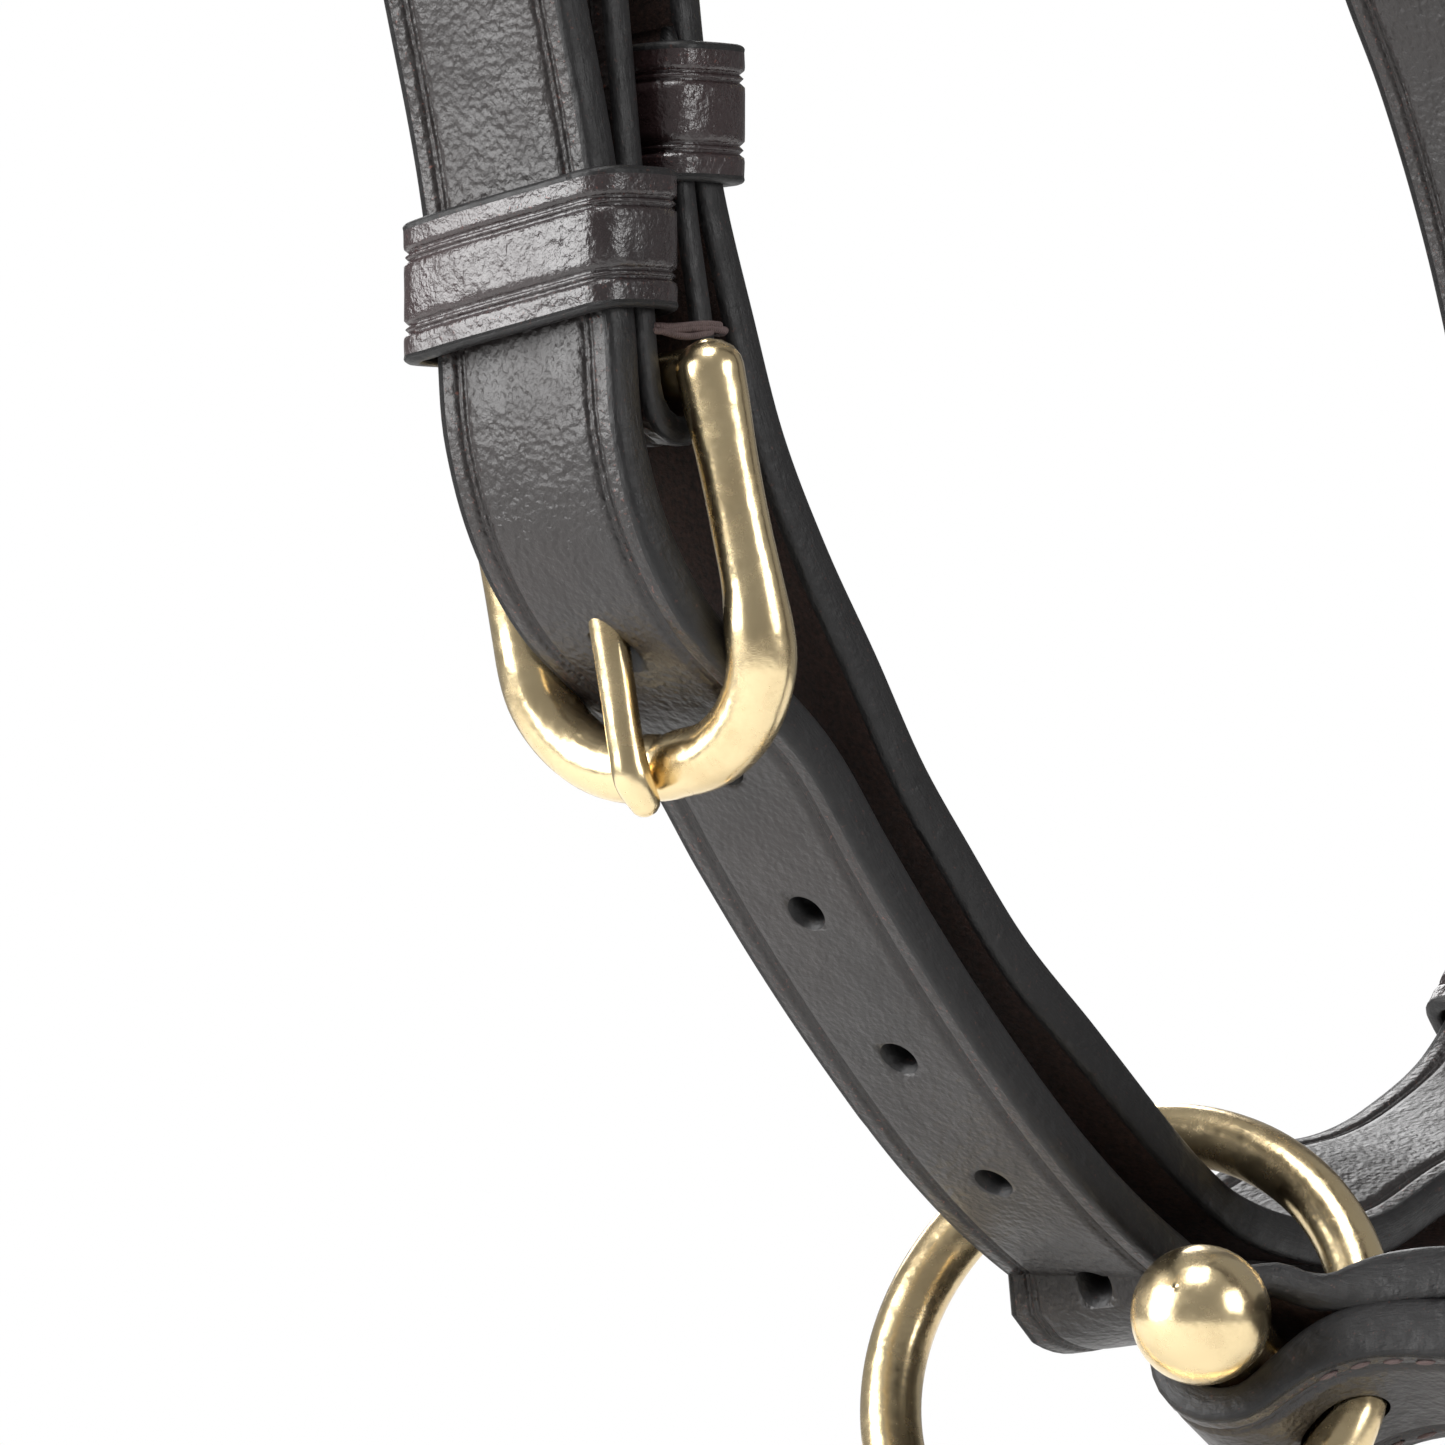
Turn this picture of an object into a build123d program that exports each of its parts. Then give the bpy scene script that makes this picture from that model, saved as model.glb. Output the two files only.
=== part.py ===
"""Leather headcollar for a horse, hung up by its headpiece with the chin strap buckled.

Millimetres. +Z is up, -Y is the front (the nose), +X is the near (left) side of the horse.
The origin is the poll: the middle of the headpiece, on the face that lies on the neck.
"""
from build123d import *
from math import cos, radians, sin, sqrt
import os

os.makedirs("parts", exist_ok=True)

# ---- leather ---------------------------------------------------------------------------
STRAP_W = 25.4                   # one-inch strap
STRAP_T = 4.0                    # bridle leather, one thickness
LINING_T = 3.0
KEEPER_T = 1.9
KEEPER_W = 16.0
HOLE_R = 2.5
HOLE_PITCH = 21.6                # between the billet holes

# ---- brass -----------------------------------------------------------------------------
WIRE_R = 3.65                    # buckle frame
HEEL_R = 2.75                    # bar that the strap and the tongue turn on
BUCKLE_LEN = 42.5                # from the heel bar to the front of the frame, on centres
BUCKLE_HALF = STRAP_W / 2 + 0.4 + WIRE_R
TONGUE_R = 2.15
TONGUE_FIT = 0.08
TONGUE_RISE = WIRE_R + TONGUE_R + 0.32
HOOP_R = HEEL_R + TONGUE_FIT + 1.9
TONGUE_LIFT = radians(5)         # as far as a fastened strap lets the tongue lift
SQUARE_R = 3.0                   # wire of the square side fittings
SQUARE_SIDE = 36.0               # on centres
LEAD_WIRE_R = 3.5
LEAD_RING_R = 28.9               # centre line, so two inches inside
STOP_R = 4.9
STOP_HALF = 20.0                 # from the middle of the stop to each ball
STOP_BALL_R = 7.8
CHEEK_RING_R = 14.5
CHEEK_WIRE_R = 2.4
CLEAR = 0.4                      # air between brass and the leather round it

# ---- places ----------------------------------------------------------------------------
DROP = 500.0                     # from the poll down to the middle of the lead ring
SQUARE_X = 83.7
LEAN = radians(7.3)              # the chin strap hangs with its lower end this far back
LEAN_UP = Vector(0, -sin(LEAN), cos(LEAN))
LEAN_BACK = Vector(0, cos(LEAN), sin(LEAN))
RING_Y = 31.0                    # the ring hangs this far behind the cheek pieces
CHIN_ORIGIN = Vector(12, RING_Y - 4.15, -DROP)
CHIN = Plane(CHIN_ORIGIN, x_dir=(1, 0, 0), z_dir=-LEAN_BACK)
BAR_NEAR = (SQUARE_X - 12, 175.4)
BAR_OFF = (-SQUARE_X - 12, 175.4)
RING_CENTRE = Vector(12, RING_Y, -DROP + 0.4)
RING_AXIS = Vector(0.883, 0.188, 0.430).normalized()
RING_BACK = (Vector(0, 1, 0) - RING_AXIS * RING_AXIS.Y).normalized()
RING_PLANE = Plane(RING_CENTRE, x_dir=RING_BACK, z_dir=RING_AXIS)
STOP_AT = (17.7, 0.4)            # middle of the stop bar, in the plane of the lead ring

HEEL_Z = -150.0                  # heel bars of the crown buckles
CHEEK_RING_AT = Vector(SQUARE_X, 33.0, -196.0)
THROAT_AT = Vector(0, 71.0, -302.0)
THROAT_UP = (CHEEK_RING_AT - Vector(SQUARE_X, THROAT_AT.Y, THROAT_AT.Z)).normalized()
THROAT_PLANE = Plane(THROAT_AT, x_dir=(1, 0, 0), z_dir=Vector(1, 0, 0).cross(THROAT_UP))


def save(part, name):
    """Label one finished piece and write it."""
    part.label = name
    export_step(part, "parts/" + name + ".step")


def band(points, thickness, start=None, end=None):
    """Outline of a strap of even thickness along a smooth line through the points."""
    ends = [Vector(*tangent) for tangent in (start, end)] if start else None
    line = Spline(*points, tangents=ends, mode=Mode.PRIVATE) if ends else Spline(*points, mode=Mode.PRIVATE)
    count = max(6, int(line.length / 4))
    sides = ([], [])
    for i in range(count + 1):
        at = line @ (i / count)
        run = line % (i / count)
        across = Vector(-run.Y, run.X) * (thickness / 2)
        sides[0].append(at + across)
        sides[1].append(at - across)
    return sides[0] + sides[1][::-1]


def add_band(plane, points, width, thickness=STRAP_T, start=None, end=None):
    """Add a flat strap to the part being built: the outline lies in the plane."""
    with BuildSketch(plane) as outline:
        with BuildLine():
            Polyline(*band(points, thickness, start, end), close=True)
        make_face()
    extrude(outline.sketch, amount=width / 2, both=True)


def add_turn(plane, centre, radius, first, sweep, width, thickness=STRAP_T):
    """Add the turn of a strap round a bar: an arc of its middle line about the centre."""
    count = max(6, int(abs(sweep) / 12))
    angles = [radians(first + sweep * i / count) for i in range(count + 1)]
    rows = [[(centre[0] + r * cos(a), centre[1] + r * sin(a)) for a in angles]
            for r in (radius + thickness / 2, radius - thickness / 2)]
    with BuildSketch(plane) as outline:
        with BuildLine():
            Polyline(*(rows[0] + rows[1][::-1]), close=True)
        make_face()
    extrude(outline.sketch, amount=width / 2, both=True)


def add_eye(plane, centre, radius, width, thickness=STRAP_T):
    """Add a closed loop of leather round a bar, of the given middle radius."""
    with BuildSketch(plane) as eye:
        with Locations(centre):
            Circle(radius + thickness / 2)
            Circle(radius - thickness / 2, mode=Mode.SUBTRACT)
    extrude(eye.sketch, amount=width / 2, both=True)


def ring_solid(plane, ring_r, wire_r, mode=Mode.ADD):
    """Add or cut a round ring lying in the plane."""
    with BuildSketch(Plane(plane.origin, x_dir=plane.x_dir, z_dir=-plane.y_dir)) as wire:
        with Locations((ring_r, 0)):
            Circle(wire_r)
    revolve(wire.sketch, axis=Axis(plane.origin, plane.z_dir), mode=mode)


def keeper(name, plane, low, high, along, width=KEEPER_W, half=STRAP_W / 2 + 0.4):
    """A leather loop round a strap: the plane is the strap's own, 'along' its place on it."""
    with BuildPart() as loop:
        with BuildSketch(plane):
            with Locations(((low + high) / 2, along)):
                Rectangle(high - low + 2 * KEEPER_T, width)
        extrude(amount=half + KEEPER_T, both=True)
        fillet(loop.edges().filter_by(Axis(plane.origin, plane.y_dir)), KEEPER_T)
        with BuildSketch(plane):
            with Locations(((low + high) / 2, along)):
                Rectangle(high - low, width + 2)
        extrude(amount=half, both=True, mode=Mode.SUBTRACT)
    save(loop.part, name)


# ---- buckles ---------------------------------------------------------------------------
def buckle_frame(name, heel):
    """Half buckle: the heel plane has its origin on the heel bar, x to the front, z outwards."""
    with BuildPart() as frame:
        with BuildLine(heel):
            wire = FilletPolyline((0, -BUCKLE_HALF), (BUCKLE_LEN, -BUCKLE_HALF),
                                  (BUCKLE_LEN, BUCKLE_HALF), (0, BUCKLE_HALF), radius=13)
        with BuildSketch(Plane(wire @ 0, z_dir=wire % 0)):
            Circle(WIRE_R)
        sweep()
        with BuildSketch(Plane(heel.origin, x_dir=heel.x_dir, z_dir=heel.y_dir)):
            Circle(HEEL_R)
        extrude(amount=BUCKLE_HALF, both=True)
        for side in (-1, 1):
            with Locations(Location(heel.from_local_coords(Vector(0, side * BUCKLE_HALF, 0)))):
                Sphere(WIRE_R)
    save(frame.part, name)


def buckle_tongue(name, heel):
    """Tongue that turns on the heel bar and rests on the front of the frame."""
    side = Plane(heel.origin, x_dir=heel.x_dir, z_dir=-heel.y_dir)
    with BuildPart() as tongue:
        with BuildSketch(side):
            Circle(HOOP_R)
        extrude(amount=TONGUE_R, both=True)
        with BuildLine(side):
            shaft = Line((1.5, HOOP_R - 0.9), (BUCKLE_LEN + 2, TONGUE_RISE))
        with BuildSketch(Plane(shaft @ 0, z_dir=shaft % 0)):
            Circle(TONGUE_R)
        sweep()
        with Locations(Location(shaft @ 1)):
            Sphere(TONGUE_R)
        with BuildSketch(side):
            Circle(HEEL_R + TONGUE_FIT)
        extrude(amount=TONGUE_R * 2, both=True, mode=Mode.SUBTRACT)
    save(tongue.part, name)


def cut_tongue_room(heel):
    """Cut the turn and the billet where the tongue goes through them, over its whole travel."""
    side = Plane(heel.origin, x_dir=heel.x_dir, z_dir=-heel.y_dir)
    room = TONGUE_R + CLEAR
    tip_x = BUCKLE_LEN + 5
    low = (HOOP_R - 0.9 - room, TONGUE_RISE - room)
    high = (low[0] + 2 * room + 0.3, TONGUE_RISE + room + tip_x * sin(TONGUE_LIFT))
    with BuildSketch(side) as path:
        Circle(HOOP_R + CLEAR)
        with BuildLine():
            Polyline((0, low[0]), (tip_x, low[1]), (tip_x, high[1]), (0, high[0]), close=True)
        make_face()
    extrude(path.sketch, amount=room, both=True, mode=Mode.SUBTRACT)


# ---- chin strap ------------------------------------------------------------------------
CHIN_HEEL = (74.0, 110.0)
CHIN_TURN_R = HEEL_R + CLEAR + STRAP_T / 2
BAR_TURN_R = SQUARE_R + CLEAR + STRAP_T / 2
chin_forward = (CHIN.x_dir * -0.153 + CHIN.y_dir * -0.988).normalized()
chin_heel = Plane(CHIN.from_local_coords(Vector(*CHIN_HEEL)), x_dir=chin_forward,
                  z_dir=CHIN.z_dir.cross(chin_forward))

INNER_LAYER = [(BAR_NEAR[0] - BAR_TURN_R, 175.4), (65.6, 140), (58.2, 106), (46, 82), (36, 66),
               (24, 51), (11.5, 34.9), (-0.5, 17.6), (-10, 10.1), (-24, 7.6), (-39, 9.3), (-54, 15.8),
               (-71, 22.4), (-86, 31), (-98.5, 43), (-107, 61), (-110.5, 88), (-107.5, 122),
               (-98.5, 153), (BAR_OFF[0] + BAR_TURN_R, 175.4)]
OUTER_LAYER = [(BAR_OFF[0] - BAR_TURN_R, 175.4), (-104.8, 160), (-112.4, 126), (-115.6, 88),
               (-111.8, 58), (-102.4, 38.6), (-88.4, 26.2), (-72, 17.4), (-54, 9.4), (-42, 4.4), (-22, 2.9), (-10, 5.4), (0, 10.2), (14.9, 23.2), (29.2, 38.6),
               (43.4, 54.6), (55, 69), (65.5, 79.5), (76, 88), (81.8, 98), (84.2, 112), (84.4, 130),
               (86, 151), (87, 163)]
CHIN_HOLES = [(1.1, 8.8, 38), (16.9, 21.6, 46), (31, 36.9, 47), (45.2, 52.9, 48), (57.8, 68.2, 47)]

with BuildPart() as chin_strap:
    add_band(CHIN, [(CHIN_HEEL[0] - CHIN_TURN_R, 150), (CHIN_HEEL[0] - CHIN_TURN_R, CHIN_HEEL[1])],
             STRAP_W)
    add_turn(CHIN, CHIN_HEEL, CHIN_TURN_R, 180, 180, STRAP_W)
    add_band(CHIN, [(CHIN_HEEL[0] + CHIN_TURN_R, CHIN_HEEL[1]), (CHIN_HEEL[0] + CHIN_TURN_R - 0.2, 140),
                    (BAR_NEAR[0] + BAR_TURN_R, 175.4)], STRAP_W, start=(0, 1), end=(0, 1))
    add_turn(CHIN, BAR_NEAR, BAR_TURN_R, 0, 180, STRAP_W)
    add_band(CHIN, INNER_LAYER, STRAP_W, start=(0, -1), end=(0, 1))
    add_turn(CHIN, BAR_OFF, BAR_TURN_R, 0, 180, STRAP_W)
    add_band(CHIN, OUTER_LAYER, STRAP_W, start=(0, -1), end=(0.05, 1))
    cut_tongue_room(chin_heel)
    for hole_x, hole_y, slope in CHIN_HOLES:
        face = CHIN.from_local_coords(Vector(hole_x, hole_y))
        out = CHIN.x_dir * sin(radians(slope)) - CHIN.y_dir * cos(radians(slope))
        with BuildSketch(Plane(face, z_dir=out)):
            Circle(HOLE_R)
        extrude(amount=STRAP_T + 1.2, both=True, mode=Mode.SUBTRACT)
save(chin_strap.part, "chin_strap")

buckle_frame("chin_buckle", chin_heel)
buckle_tongue("chin_buckle_tongue", chin_heel)
keeper("chin_front_keeper", CHIN, 74.2, 87.0, 124)
keeper("chin_back_keeper", CHIN, 62.6, 72.2, 141)
off_keep = Plane(CHIN.from_local_coords(Vector(-99.2, 39.9)), x_dir=CHIN.x_dir * 0.72 + CHIN.y_dir * 0.694,
                 z_dir=CHIN.z_dir)
keeper("chin_off_keeper", off_keep, -6.3, 6.4, 0)

# ---- lead ring and its stop ------------------------------------------------------------
with BuildPart() as lead_ring:
    ring_solid(RING_PLANE, LEAD_RING_R, LEAD_WIRE_R)
save(lead_ring.part, "lead_ring")

stop_plane = Plane(RING_PLANE.from_local_coords(Vector(*STOP_AT)), x_dir=RING_BACK, z_dir=RING_AXIS)
stop_neck = STOP_HALF - sqrt(STOP_BALL_R ** 2 - STOP_R ** 2)
stop_end = STOP_HALF + STOP_BALL_R
with BuildPart() as lead_stop:
    with BuildSketch(Plane(stop_plane.origin, x_dir=RING_AXIS, z_dir=stop_plane.y_dir)) as half_stop:
        with BuildLine():
            ThreePointArc((-stop_end, 0), (-STOP_HALF, STOP_BALL_R), (-stop_neck, STOP_R))
            Line((-stop_neck, STOP_R), (stop_neck, STOP_R))
            ThreePointArc((stop_neck, STOP_R), (STOP_HALF, STOP_BALL_R), (stop_end, 0))
            Line((stop_end, 0), (-stop_end, 0))
        make_face()
    revolve(half_stop.sketch, axis=Axis(stop_plane.origin, RING_AXIS))
save(lead_stop.part, "lead_ring_stop")

# ---- backstay --------------------------------------------------------------------------
STOP_TURN_R = STOP_R + 2 * CLEAR + STRAP_T / 2
BACKSTAY_RISE = [(44, 9, 0.0), (62, 19, 0.12), (73, 42, 0.35), (74, 80, 0.7), (63, 118, 0.9),
                 (51, 146, 1.0), (43, 172, 1.0), (40, 192, 1.0)]
LOOP_IN_Y = 21.0
LOOP_IN_Z = 8.0

with BuildPart() as backstay:
    add_turn(RING_PLANE, STOP_AT, STOP_TURN_R, 90, 180, STRAP_W)
    add_band(RING_PLANE, [(STOP_AT[0], STOP_AT[1] + STOP_TURN_R), (30, 8.7), (47, 10.6)], STRAP_W,
             start=(1, 0), end=(1, 0.15))
    add_band(RING_PLANE, [(STOP_AT[0], STOP_AT[1] - STOP_TURN_R), (24.2, -3.7), (30.4, 2.6), (47, 6.7)],
             STRAP_W, start=(1, 0), end=(1, 0.15))
    join = RING_PLANE.from_local_coords(Vector(46, 10.5))
    rise = [Vector(join.X + (0 - join.X) * mix, RING_Y + y, -DROP + z) for y, z, mix in BACKSTAY_RISE]
    rise[0] = join
    with BuildLine():
        spine = Spline(*rise, tangents=[RING_BACK + Vector(0, 0, 0.1), Vector(0, -0.1, 1)],
                       mode=Mode.PRIVATE)
    steps = 26
    for i in range(steps + 1):
        at = spine @ (i / steps)
        run = spine % (i / steps)
        twist = min(1.0, i / steps * 1.4)
        wide = RING_AXIS * (1 - twist) + Vector(1, 0, 0) * twist
        wide = (wide - run * wide.dot(run)).normalized()
        with BuildSketch(Plane(at, x_dir=wide, z_dir=run)):
            Rectangle(STRAP_W, STRAP_T)
    loft(ruled=True)
    with BuildSketch(Plane(THROAT_AT, x_dir=THROAT_PLANE.z_dir, z_dir=(1, 0, 0))):
        Rectangle(LOOP_IN_Y + 2 * STRAP_T, LOOP_IN_Z + 2 * STRAP_T)
        Rectangle(LOOP_IN_Y, LOOP_IN_Z, mode=Mode.SUBTRACT)
    extrude(amount=STRAP_W / 2, both=True)
    ring_solid(RING_PLANE, LEAD_RING_R, LEAD_WIRE_R + CLEAR, mode=Mode.SUBTRACT)
save(backstay.part, "backstay")

# ---- squares ---------------------------------------------------------------------------
for side, name in ((1, "near_square"), (-1, "off_square")):
    low_bar = CHIN.from_local_coords(Vector(*(BAR_NEAR if side > 0 else BAR_OFF)))
    middle = low_bar + LEAN_UP * (SQUARE_SIDE / 2)
    flat = Plane(middle, x_dir=LEAN_BACK, z_dir=(1, 0, 0))
    with BuildPart() as square:
        reach = SQUARE_SIDE / 2
        with BuildLine(flat):
            loop_line = FilletPolyline((reach, -reach), (reach, reach), (-reach, reach),
                                       (-reach, -reach), radius=3.6, close=True)
        with BuildSketch(Plane(loop_line @ 0, z_dir=loop_line % 0)):
            Circle(SQUARE_R)
        sweep()
    save(square.part, name)
SQUARE_MIDDLE = CHIN.from_local_coords(Vector(BAR_NEAR[0], BAR_NEAR[1])) + LEAN_UP * (SQUARE_SIDE / 2)
TOP_BAR = SQUARE_MIDDLE + LEAN_UP * (SQUARE_SIDE / 2)
FRONT_BAR = SQUARE_MIDDLE - LEAN_BACK * (SQUARE_SIDE / 2)

# ---- noseband --------------------------------------------------------------------------
NOSE = Plane((0, 0, SQUARE_MIDDLE.Z), x_dir=(1, 0, 0), z_dir=(0, 0, 1))
NOSE_LOOP_R = SQUARE_R + 1.6 + STRAP_T / 2
NOSE_LOOP_W = 17.0               # the ends are cut narrower, to sit between the other loops
NOSE_PATH = [(83.2, FRONT_BAR.Y - NOSE_LOOP_R), (82, -70), (64, -122), (0, -150), (-64, -122),
             (-82, -70), (-83.2, FRONT_BAR.Y - NOSE_LOOP_R)]

with BuildPart() as noseband:
    add_band(NOSE, NOSE_PATH, STRAP_W, start=(0, -1), end=(0, 1))
    for side in (-1, 1):
        add_eye(NOSE, (side * SQUARE_X, FRONT_BAR.Y), NOSE_LOOP_R, NOSE_LOOP_W)
save(noseband.part, "noseband")

with BuildLine():
    nose_line = Spline(*NOSE_PATH, tangents=[(0, -1), (0, 1)], mode=Mode.PRIVATE)
lining_path = []
for i in range(11):
    spot = nose_line @ (0.13 + 0.074 * i)
    run = nose_line % (0.13 + 0.074 * i)
    lining_path.append(spot + Vector(-run.Y, run.X) * -(STRAP_T / 2 + LINING_T / 2 + 0.4))
with BuildPart() as noseband_lining:
    add_band(NOSE, lining_path, STRAP_W, thickness=LINING_T)
save(noseband_lining.part, "noseband_lining")

# ---- cheek pieces, crown buckles and keepers -------------------------------------------
FRONT_VIEW = Plane((0, 0, 0), x_dir=(1, 0, 0), z_dir=(0, -1, 0))
CHEEK_T = 2 * STRAP_T + 0.3
CHEEK_LOOP_R = SQUARE_R + 1.9 + STRAP_T / 2
HEEL_LOOP_R = HEEL_R + CLEAR + STRAP_T / 2
KEEP_Z = -171.0
RUNNER_Z = -215.0

for side, word in ((1, "near"), (-1, "off")):
    x = side * SQUARE_X
    forward = Vector(side * 0.12, 0, 0.9928)
    heel = Plane((x, 0, HEEL_Z), x_dir=forward, z_dir=Vector(side * 0.9928, 0, -0.12))
    low, high = TOP_BAR.Z + CHEEK_LOOP_R, HEEL_Z - HEEL_LOOP_R
    with BuildPart() as cheek:
        with BuildSketch(FRONT_VIEW):
            with Locations((x, (low + high) / 2)):
                Rectangle(CHEEK_T, high - low + 3)
        extrude(amount=STRAP_W / 2, both=True)
        add_eye(FRONT_VIEW, (x, HEEL_Z), HEEL_LOOP_R, STRAP_W)
        add_eye(FRONT_VIEW, (x, TOP_BAR.Z), CHEEK_LOOP_R, STRAP_W)
        cut_tongue_room(heel)
    save(cheek.part, word + "_cheek_piece")
    buckle_frame(word + "_crown_buckle", heel)
    buckle_tongue(word + "_crown_buckle_tongue", heel)
    ends = sorted((x - side * (CHEEK_T / 2 + 0.5), x + side * (CHEEK_T / 2 + 2 * STRAP_T - 0.8)))
    keeper(word + "_fixed_keeper", FRONT_VIEW, ends[0], ends[1], KEEP_Z)
    keeper(word + "_runner_keeper", FRONT_VIEW, ends[0], ends[1], RUNNER_Z)

# ---- headpiece -------------------------------------------------------------------------
billet_x = SQUARE_X + CHEEK_T / 2 + STRAP_T / 2 + 0.6
SIDE_PATH = [(billet_x, -246), (billet_x, -205), (billet_x + 0.8, -172), (SQUARE_X + 9.6, -158),
             (SQUARE_X + 9.9, -147), (SQUARE_X + 8.3, -137.5), (SQUARE_X + 4.9, -129.5),
             (SQUARE_X - 0.5, -119), (SQUARE_X - 5, -101), (SQUARE_X - 10, -64), (52, -18)]
CROWN_PATH = SIDE_PATH + [(0, STRAP_T / 2)] + [(-px, pz) for px, pz in reversed(SIDE_PATH)]

with BuildPart() as headpiece:
    add_band(FRONT_VIEW, CROWN_PATH, STRAP_W, start=(0, 1), end=(0, -1))
    for side in (-1, 1):
        heel = Plane((side * SQUARE_X, 0, HEEL_Z), x_dir=(side * 0.12, 0, 0.9928),
                     z_dir=(side * 0.9928, 0, -0.12))
        cut_tongue_room(heel)
        for i in (-2, -1, 1, 2):
            z = -132 + i * HOLE_PITCH if i > 0 else -140 + i * HOLE_PITCH
            with BuildSketch(Plane((side * SQUARE_X, 0, z), z_dir=(side, 0, 0))):
                Circle(HOLE_R)
            extrude(amount=14, both=True, mode=Mode.SUBTRACT)
save(headpiece.part, "headpiece")

# ---- cheek rings and the tabs that hold them -------------------------------------------
for side, word in ((1, "near"), (-1, "off")):
    at = Vector(side * SQUARE_X, CHEEK_RING_AT.Y, CHEEK_RING_AT.Z)
    ring_plane = Plane(at, x_dir=(0, 1, 0), z_dir=(1, 0, 0))
    with BuildPart() as cheek_ring:
        ring_solid(ring_plane, CHEEK_RING_R, CHEEK_WIRE_R)
    save(cheek_ring.part, word + "_cheek_ring")
    tab_front = STRAP_W / 2 + 0.02
    tab_back = at.Y - CHEEK_RING_R + CHEEK_WIRE_R + CLEAR + 3
    with BuildPart() as tab:
        with BuildSketch(Plane(at, x_dir=(0, 1, 0), z_dir=(1, 0, 0))):
            with Locations(((tab_front + tab_back) / 2 - at.Y, 0)):
                RectangleRounded(tab_back - tab_front, 12, 2.5)
        extrude(amount=CHEEK_T / 2 + 1.6, both=True)
        ring_solid(ring_plane, CHEEK_RING_R, CHEEK_WIRE_R + CLEAR, mode=Mode.SUBTRACT)
    save(tab.part, word + "_ring_tab")

# ---- throatlash ------------------------------------------------------------------------
THROAT_W = 19.0
REACH = (CHEEK_RING_AT - Vector(SQUARE_X, THROAT_AT.Y, THROAT_AT.Z)).length
OFF_END = REACH - CHEEK_RING_R
SNAP_DROP = 62.0                 # room that the snap hook takes at the near end
NEAR_END = REACH - CHEEK_RING_R - SNAP_DROP
EYE_WIRE_R = 2.1
EYE_HALF = 10.5

with BuildPart() as throatlash:
    add_band(THROAT_PLANE, [(-SQUARE_X, OFF_END - 9), (-SQUARE_X + 2, 60), (-58, 18), (0, 0), (58, 14),
                            (80.4, 30), (SQUARE_X, NEAR_END - 5)], THROAT_W,
             start=(0, -1), end=(0, 1))
    add_eye(THROAT_PLANE, (SQUARE_X, NEAR_END), EYE_WIRE_R + CLEAR + 2, THROAT_W)
    end_block = THROAT_PLANE.from_local_coords(Vector(-SQUARE_X, OFF_END - 3.5))
    with BuildSketch(Plane(end_block, x_dir=(1, 0, 0), z_dir=THROAT_PLANE.z_dir)):
        RectangleRounded(12, 20, 4)
    extrude(amount=6, both=True)
    off_ring = Plane(Vector(-SQUARE_X, CHEEK_RING_AT.Y, CHEEK_RING_AT.Z), x_dir=(0, 1, 0), z_dir=(1, 0, 0))
    ring_solid(off_ring, CHEEK_RING_R, CHEEK_WIRE_R + CLEAR, mode=Mode.SUBTRACT)
save(throatlash.part, "throatlash")

# ---- snap hook -------------------------------------------------------------------------
# eye plane: x along the eye's bar, y up to the cheek ring, origin on the bar
# hook plane: the same turned a quarter round y, because the swivel sets the hook across the ring
snap_at = THROAT_PLANE.from_local_coords(Vector(SQUARE_X, NEAR_END))
EYE = Plane(snap_at, x_dir=THROAT_PLANE.z_dir, z_dir=THROAT_PLANE.z_dir.cross(THROAT_UP))
HOOK = Plane(snap_at, x_dir=(1, 0, 0), z_dir=Vector(1, 0, 0).cross(THROAT_UP))
SHANK_R = 2.2
COLLAR_Y = 18.5
HOOK_HALF = 8.5
HOOK_WIRE_R = 2.6
HOOK_TOP = SNAP_DROP + CHEEK_WIRE_R + HOOK_WIRE_R + 0.5
HOOK_TIP = 56.0
GATE_PIVOT = (-HOOK_HALF, 40.0)
PIN_R = 1.0


def across_snap(height):
    """Plane square to the shank of the snap, at a height above the eye's bar."""
    return Plane(EYE.from_local_coords(Vector(0, height)), x_dir=EYE.x_dir, z_dir=EYE.y_dir)


pivot_plane = Plane(HOOK.from_local_coords(Vector(*GATE_PIVOT)), x_dir=HOOK.x_dir, z_dir=HOOK.z_dir)

with BuildPart() as snap_eye:
    with BuildLine(EYE):
        eye_line = FilletPolyline((EYE_HALF + 1.4, 0), (EYE_HALF + 1.4, COLLAR_Y - 4),
                                  (-EYE_HALF - 1.4, COLLAR_Y - 4), (-EYE_HALF - 1.4, 0), radius=3.4,
                                  close=True)
    with BuildSketch(Plane(eye_line @ 0, z_dir=eye_line % 0)):
        Circle(EYE_WIRE_R)
    sweep()
    with BuildSketch(across_snap(COLLAR_Y - 7.5)):
        Circle(5.2)
    extrude(amount=7.5)
    with BuildSketch(across_snap(COLLAR_Y - 7.5)):
        Circle(SHANK_R + TONGUE_FIT)
    extrude(amount=7.5, mode=Mode.SUBTRACT)
save(snap_eye.part, "snap_eye")

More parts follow.
